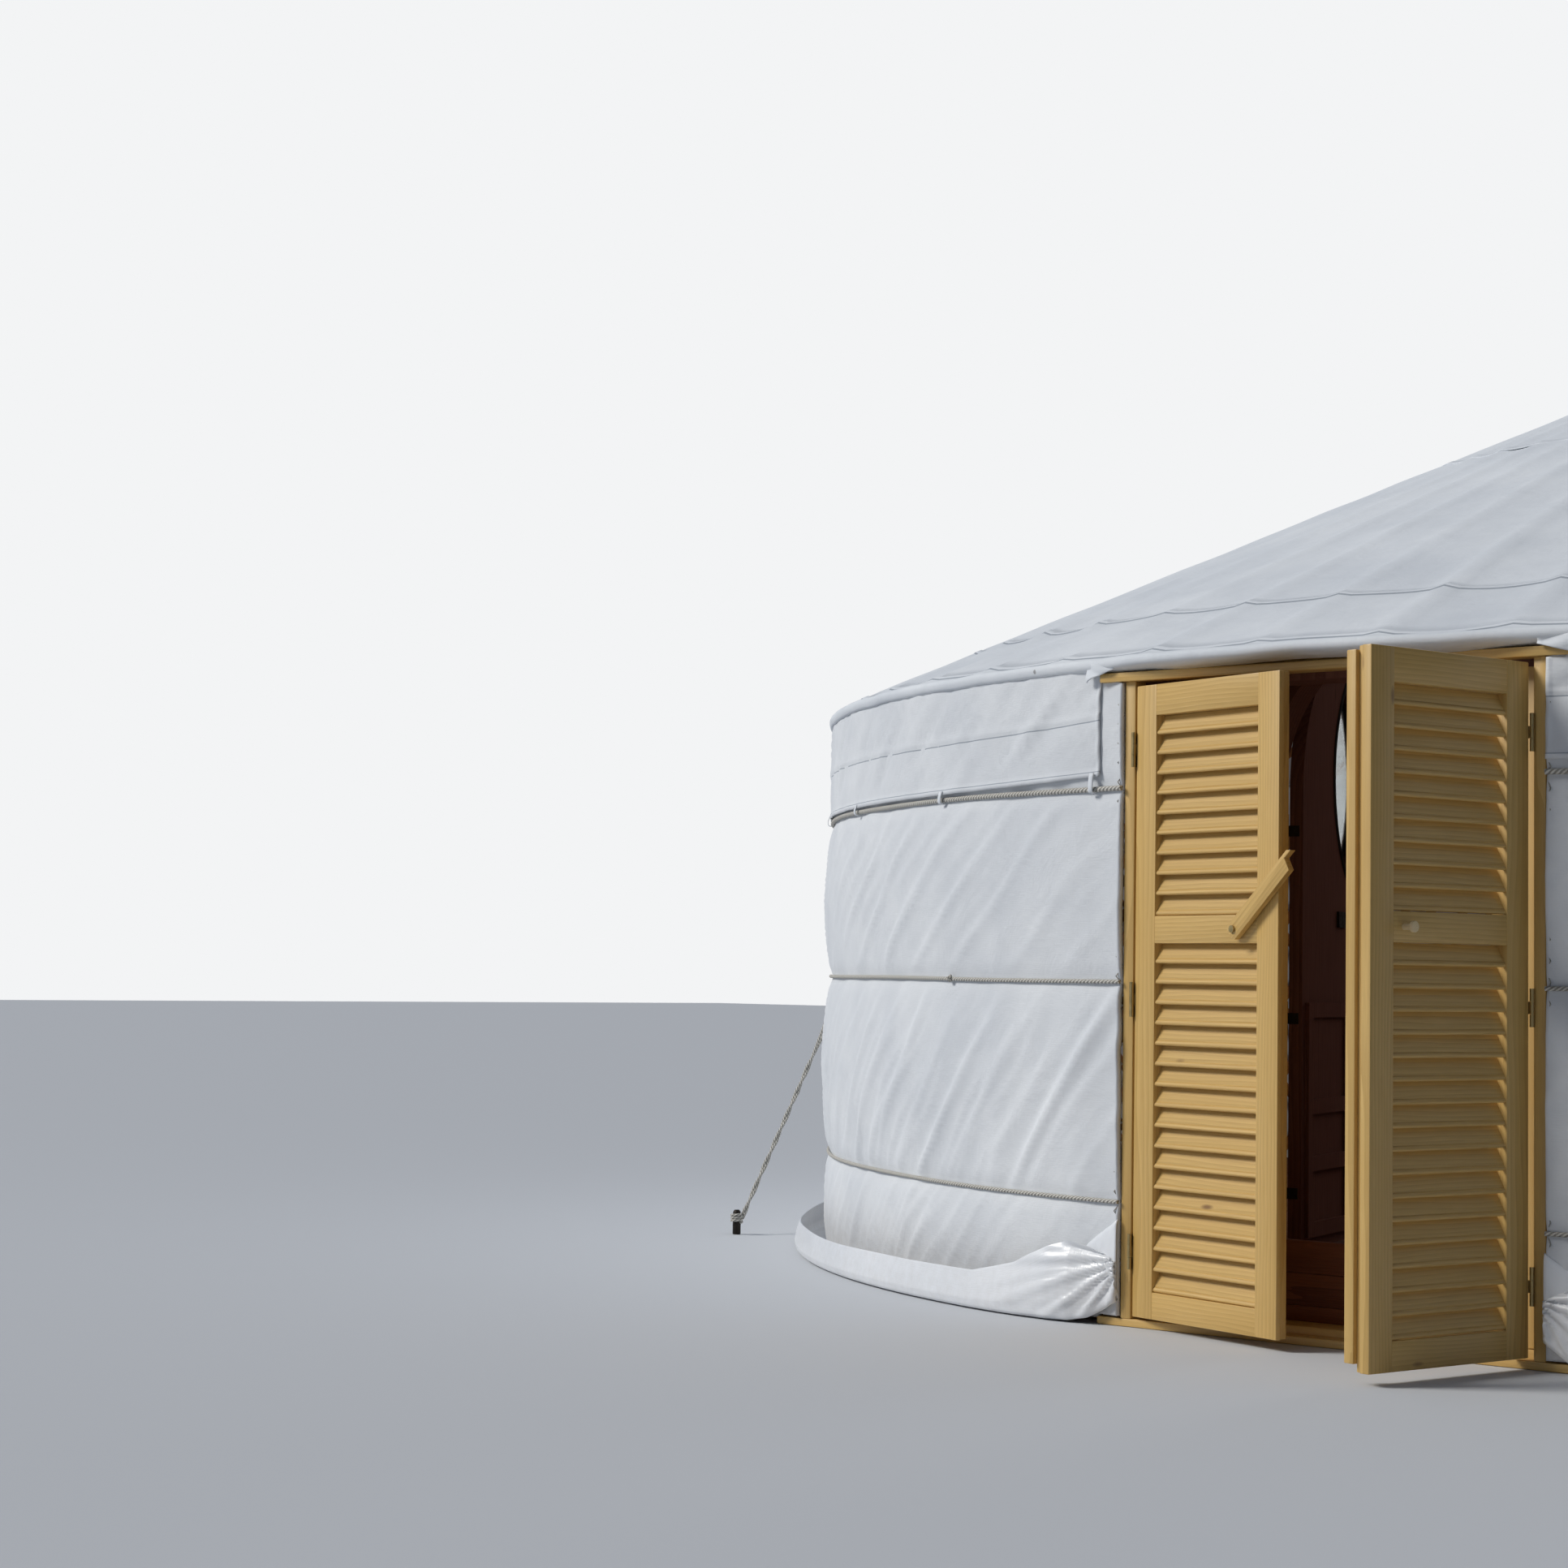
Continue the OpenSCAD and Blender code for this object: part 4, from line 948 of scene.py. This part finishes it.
floor = {"radius": 3.50, "top": 0.170, "depth": 0.030, "plank": 0.140, "gap": 0.003, "doorSide": 0.656,
         "doorReach": 3.330}
bm = startBoards()
count = int(floor["radius"] / floor["plank"])
for k in range(-count, count):
    low, high = k * floor["plank"] + floor["gap"] / 2, (k + 1) * floor["plank"] - floor["gap"] / 2
    far = max(abs(low), abs(high))
    reach = sqrt(floor["radius"] ** 2 - far ** 2)
    near = min(reach, floor["doorReach"]) if far < floor["doorSide"] else reach
    joint = chance.uniform(-0.8, 0.8)
    for a, b in ((-near, joint - 0.001), (joint + 0.001, reach)):
        addBoard(bm, (low, a, floor["top"] - floor["depth"]), (high, b, floor["top"]), 1, bevel=0.002)
makePiece("floorPlanks", bm, "tent", [floorPine], ["floor"])
setLook("floor_beams", beamPine)
print("floor made")


# door frame

bm = startBoards()
face, back, inner = tent["doorFace"], -3.480, -3.371
for side in (-1, 1):
    xs = sorted((side * tent["hingeSide"], side * tent["postSide"]))
    addBoard(bm, (xs[0], face, 0.022), (xs[1], inner, 1.815), 2)
    # the batten that a shut leaf stops against
    xs = sorted((side * (tent["hingeSide"] - 0.050), side * tent["hingeSide"]))
    addBoard(bm, (xs[0], back + 0.003, 0.046), (xs[1], back + 0.019, 1.814), 2)
for side, near, low, far, high in (
        (0.790, back, 1.815, inner, 1.860),         # head
        (0.730, face - 0.015, 1.815, back, 1.841),  # front board
        (0.730, face, 0.0, back, 0.022),            # step
        (0.650, back, 0.0, inner, 0.044)):          # sill
    addBoard(bm, (-side, near, low), (side, far, high), 0)
makePiece("doorFrame", bm, "tent", [honeyPine], ["left_post", "right_post", "head", "front_board", "sill"])
bm = startBoards()
for low, high in ((0.0, 0.086), (0.087, 0.174), (0.175, 0.262)):
    addBoard(bm, (-0.5855, inner, low), (0.5855, -3.335, high), 0, bevel=0.002)
makePiece("thresholdBoard", bm, "tent", [floorPine], ["threshold"])
makePiece("innerFrame", copyNode("inner_frame", 2), "tent", [stainedPine], ["inner_frame"])
print("door frame made")


# louvred leaves

leaf = {"low": 0.030, "high": 1.800, "gap": 0.005, "width": 0.6085, "depth": 0.049, "hingeOut": 0.007,
        "stile": 0.087, "topRail": 0.087, "bottomRail": 0.075, "middleLow": 1.0725, "middleHigh": 1.1495,
        "lip": 0.018, "rebate": 0.015, "groove": 0.012, "strip": 0.046, "stripDepth": 0.030,
        "slatDepth": 0.011, "slatLean": radians(30)}


def hinged(x, y, degrees, flip=1):
    turned = Matrix.Rotation(radians(degrees), 4, "Z") @ Matrix.Scale(flip, 4, (1, 0, 0))
    return Matrix.Translation((x, y, 0)) @ turned


leftFrame = hinged(-0.616, -3.538, -17.35)
rightFrame = hinged(0.616, -3.538, 79.4, flip=-1)
innerTurn = hinged(-0.436, -3.013, 103.5)


def placeBoards(bm, matrix):
    bmesh.ops.transform(bm, matrix=matrix, verts=bm.verts[:])
    if matrix.determinant() < 0:
        bmesh.ops.reverse_faces(bm, faces=bm.faces[:])
    return bm


def makeLeafFrame(side):
    bm = startBoards()
    y0, y1 = leaf["hingeOut"], leaf["hingeOut"] + leaf["depth"]
    x0, x1 = leaf["gap"], leaf["gap"] + leaf["width"]
    s, low, high = leaf["stile"], leaf["low"], leaf["high"]
    addBoard(bm, (x0, y0, low), (x0 + s, y1, high), 2)
    shift = (chance.uniform(-9, 9), 0.02, 0.08)
    if side == "left":
        addBoard(bm, (x1 - s, y0, low), (x1, y0 + leaf["lip"], high), 2, shift=shift)
        addBoard(bm, (x1 - s, y0 + leaf["lip"] - 0.004, low), (x1 - leaf["rebate"], y1, high), 2, shift=shift)
    else:
        addBoard(bm, (x1 - s, y0, low), (x1, y1 - 0.019, high), 2, shift=shift)
        addBoard(bm, (x1 - s, y1 - 0.023, low), (x1 - leaf["groove"], y1, high), 2, shift=shift)
        addBoard(bm, (x1 - leaf["strip"], y1, 0.050), (x1, y1 + leaf["stripDepth"], 1.790), 2)
    for low, high in ((low, low + leaf["bottomRail"]), (leaf["middleLow"], leaf["middleHigh"]),
                      (high - leaf["topRail"], high)):
        addBoard(bm, (x0 + s - 0.002, y0 + 0.0006, low), (x1 - s + 0.002, y1 - 0.0006, high), 0)
    return bm


def addSlat(bm, depth, height, length):
    # a slat's section: a rounded nose, a fine quirk above it, and the blade that runs up and back
    slat = bmesh.new()
    t = leaf["slatDepth"] / 2
    lean = leaf["slatLean"]
    back, up = Vector((0, sin(lean), cos(lean))), Vector((0, -cos(lean), sin(lean)))
    section = [(cos(a) * -t, sin(a) * t) for a in np.linspace(-pi / 2, pi / 2, 9)]
    section += [(0.006, t), (0.0075, t - 0.0016), (0.009, t - 0.0002), (length, t - 0.0002), (length, -t)]
    nose = Vector((leaf["gap"] + leaf["stile"], depth, height))
    endFace = slat.faces.new([slat.verts.new(nose + back * p[0] + up * p[1]) for p in section])
    made = bmesh.ops.extrude_face_region(slat, geom=[endFace])["geom"]
    moved = [v for v in made if isinstance(v, bmesh.types.BMVert)]
    bmesh.ops.translate(slat, vec=(leaf["width"] - 2 * leaf["stile"], 0, 0), verts=moved)
    bmesh.ops.recalc_face_normals(slat, faces=slat.faces[:])
    setGrain(slat, 0)
    joinInto(bm, slat)


def makeSlats():
    bm = startBoards()
    t, lean = leaf["slatDepth"], leaf["slatLean"]
    for low, high, count in ((leaf["low"] + leaf["bottomRail"], leaf["middleLow"], 17),
                             (leaf["middleHigh"], leaf["high"] - leaf["topRail"], 10)):
        pitch = (high - low) / count
        for k in range(count):
            # the top slat ends under its rail
            rise = pitch + 0.002 if k < count - 1 else pitch - t / 2 * (1 + sin(lean)) - 0.0015
            addSlat(bm, leaf["hingeOut"] + 0.004 + t / 2, low + k * pitch + t / 2 + 0.001, rise / cos(lean))
    return bm


for side, place in (("left", leftFrame), ("right", rightFrame)):
    makePiece(side + "LeafFrame", placeBoards(makeLeafFrame(side), place), side + "_door", [honeyPine],
              [side + "_leaf"])
    makePiece(side + "Slats", placeBoards(makeSlats(), place), side + "_door", [honeyPine],
              [side + "_louvres"], sharp=50)
barTurn = (leftFrame @ Matrix.Rotation(radians(-40), 4, "Y")).inverted()
makePiece("turnBar", copyNode("latch_bar", 0, barTurn, bevel=0.002), "turn_bar", [honeyPine], ["latch_bar"])
makePiece("pegKnob", copyNode("latch_peg", 1, rightFrame.inverted(), bevel=0.0015), "right_door", [barePine],
          ["latch_peg"])
for node in ("frame_hinges", "left_hinges", "right_hinges", "latch_screw"):
    setLook(node, platedSteel)
setLook("inner_irons", blackIron)
print("leaves made")


# inner door

makePiece("innerLeaf", copyNode("inner_door", 2, innerTurn.inverted()), "inside_door", [stainedPine],
          ["inner_door"])
setLook("window_glass", windowGlass)
window = {"width": 0.270, "height": 0.608, "centre": 1.586, "middle": 0.436, "depth": 0.040, "seal": 0.006}
bm = startBoards()
arcRadius = (window["width"] ** 2 + window["height"] ** 2) / (4 * window["width"])
offset = arcRadius - window["width"] / 2
reach = asin(window["height"] / 2 / arcRadius)
for face in (-0.007 - window["depth"], -0.007):
    for side in (-1, 1):
        points = []
        for a in np.linspace(-reach, reach, 33):
            points.append(innerTurn @ Vector((window["middle"] + side * (arcRadius * cos(a) - offset), face,
                                              window["centre"] + arcRadius * sin(a))))
        addTube(bm, points, window["seal"])
makePiece("windowSeal", bm, "inside_door", [rubber], (), sharp=60)
print("inner door made")


# camera, light and stage

right = Vector((0.753646, 0.657092, 0.015745))
upward = Vector((0.029075, -0.057259, 0.997936))
forward = Vector((-0.656637, 0.751633, 0.062258))
cameraData = bpy.data.cameras.new("camera")
cameraData.lens = 69.54
cameraData.sensor_width = 36
cameraData.clip_end = 200
camera = bpy.data.objects.new("camera", cameraData)
camera.matrix_world = Matrix.Translation((4.2645, -10.6262, 0.9738)) @ Matrix(
    (right, upward, -forward)).transposed().to_4x4()
scene.collection.objects.link(camera)
scene.camera = camera

light = {"sky": 0.37, "skyRight": 0.05, "skyColour": "#d3e2fb", "sun": 2.4, "sunSize": 20,
         "sunTurn": radians(47), "sunHeight": 0.78, "inside": 55}
world = bpy.data.worlds.new("studio")
scene.world = world
world.use_nodes = True
world.node_tree.nodes.clear()
add = partial(addNode, world.node_tree)
rays = add("LightPath")
# the right-hand side of the sky is darker, as beside a wall of trees
skyWay = add("SeparateXYZ", {0: add("TexCoord").outputs["Generated"]})
skyPower = add("MapRange", {"Value": skyWay, 1: -0.2, 2: 0.7, 3: light["sky"], 4: light["skyRight"]},
               interpolation_type="SMOOTHSTEP")
sky = add("Background", {"Color": light["skyColour"], "Strength": skyPower})
backdrop = add("Background", {"Color": "#f3f4f5", "Strength": 1.0})
seen = add("Math", {0: rays.outputs["Is Camera Ray"], 1: rays.outputs["Is Transmission Ray"]},
           operation="MAXIMUM")
choice = add("MixShader", {0: seen, 1: sky, 2: backdrop})
add("OutputWorld", {"Surface": choice})


def addLamp(name, kind, energy):
    lamp = bpy.data.objects.new(name, bpy.data.lights.new(name, kind))
    lamp.data.energy = energy
    scene.collection.objects.link(lamp)
    return lamp


sun = addLamp("softLamp", "SUN", light["sun"])
sun.data.angle = radians(light["sunSize"])
sun.data.color = (1.0, 0.97, 0.92)
sun.rotation_euler = (-spot(light["sunTurn"], 1, light["sunHeight"])).to_track_quat("-Z", "Y").to_euler()
# daylight that comes through the cloth
inside = addLamp("insideLamp", "POINT", light["inside"])
inside.data.shadow_soft_size = 0.6
inside.location = (0, 0, 1.9)
inside.visible_glossy = False

bm = bmesh.new()
bmesh.ops.create_grid(bm, x_segments=1, y_segments=1, size=60)
bmesh.ops.translate(bm, vec=(0, 0, -0.001), verts=bm.verts[:])
groundMesh = bpy.data.meshes.new("paleFloor")
bm.to_mesh(groundMesh)
bm.free()
ground = bpy.data.objects.new("paleFloor", groundMesh)
scene.collection.objects.link(ground)
groundMesh.materials.append(newMaterial("pale studio floor", None, {
    "Base Color": "#c8cbcf", "Roughness": 0.9}))
ground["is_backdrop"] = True
scene.view_settings.view_transform = "Standard"
print("camera and light made")

low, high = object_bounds()
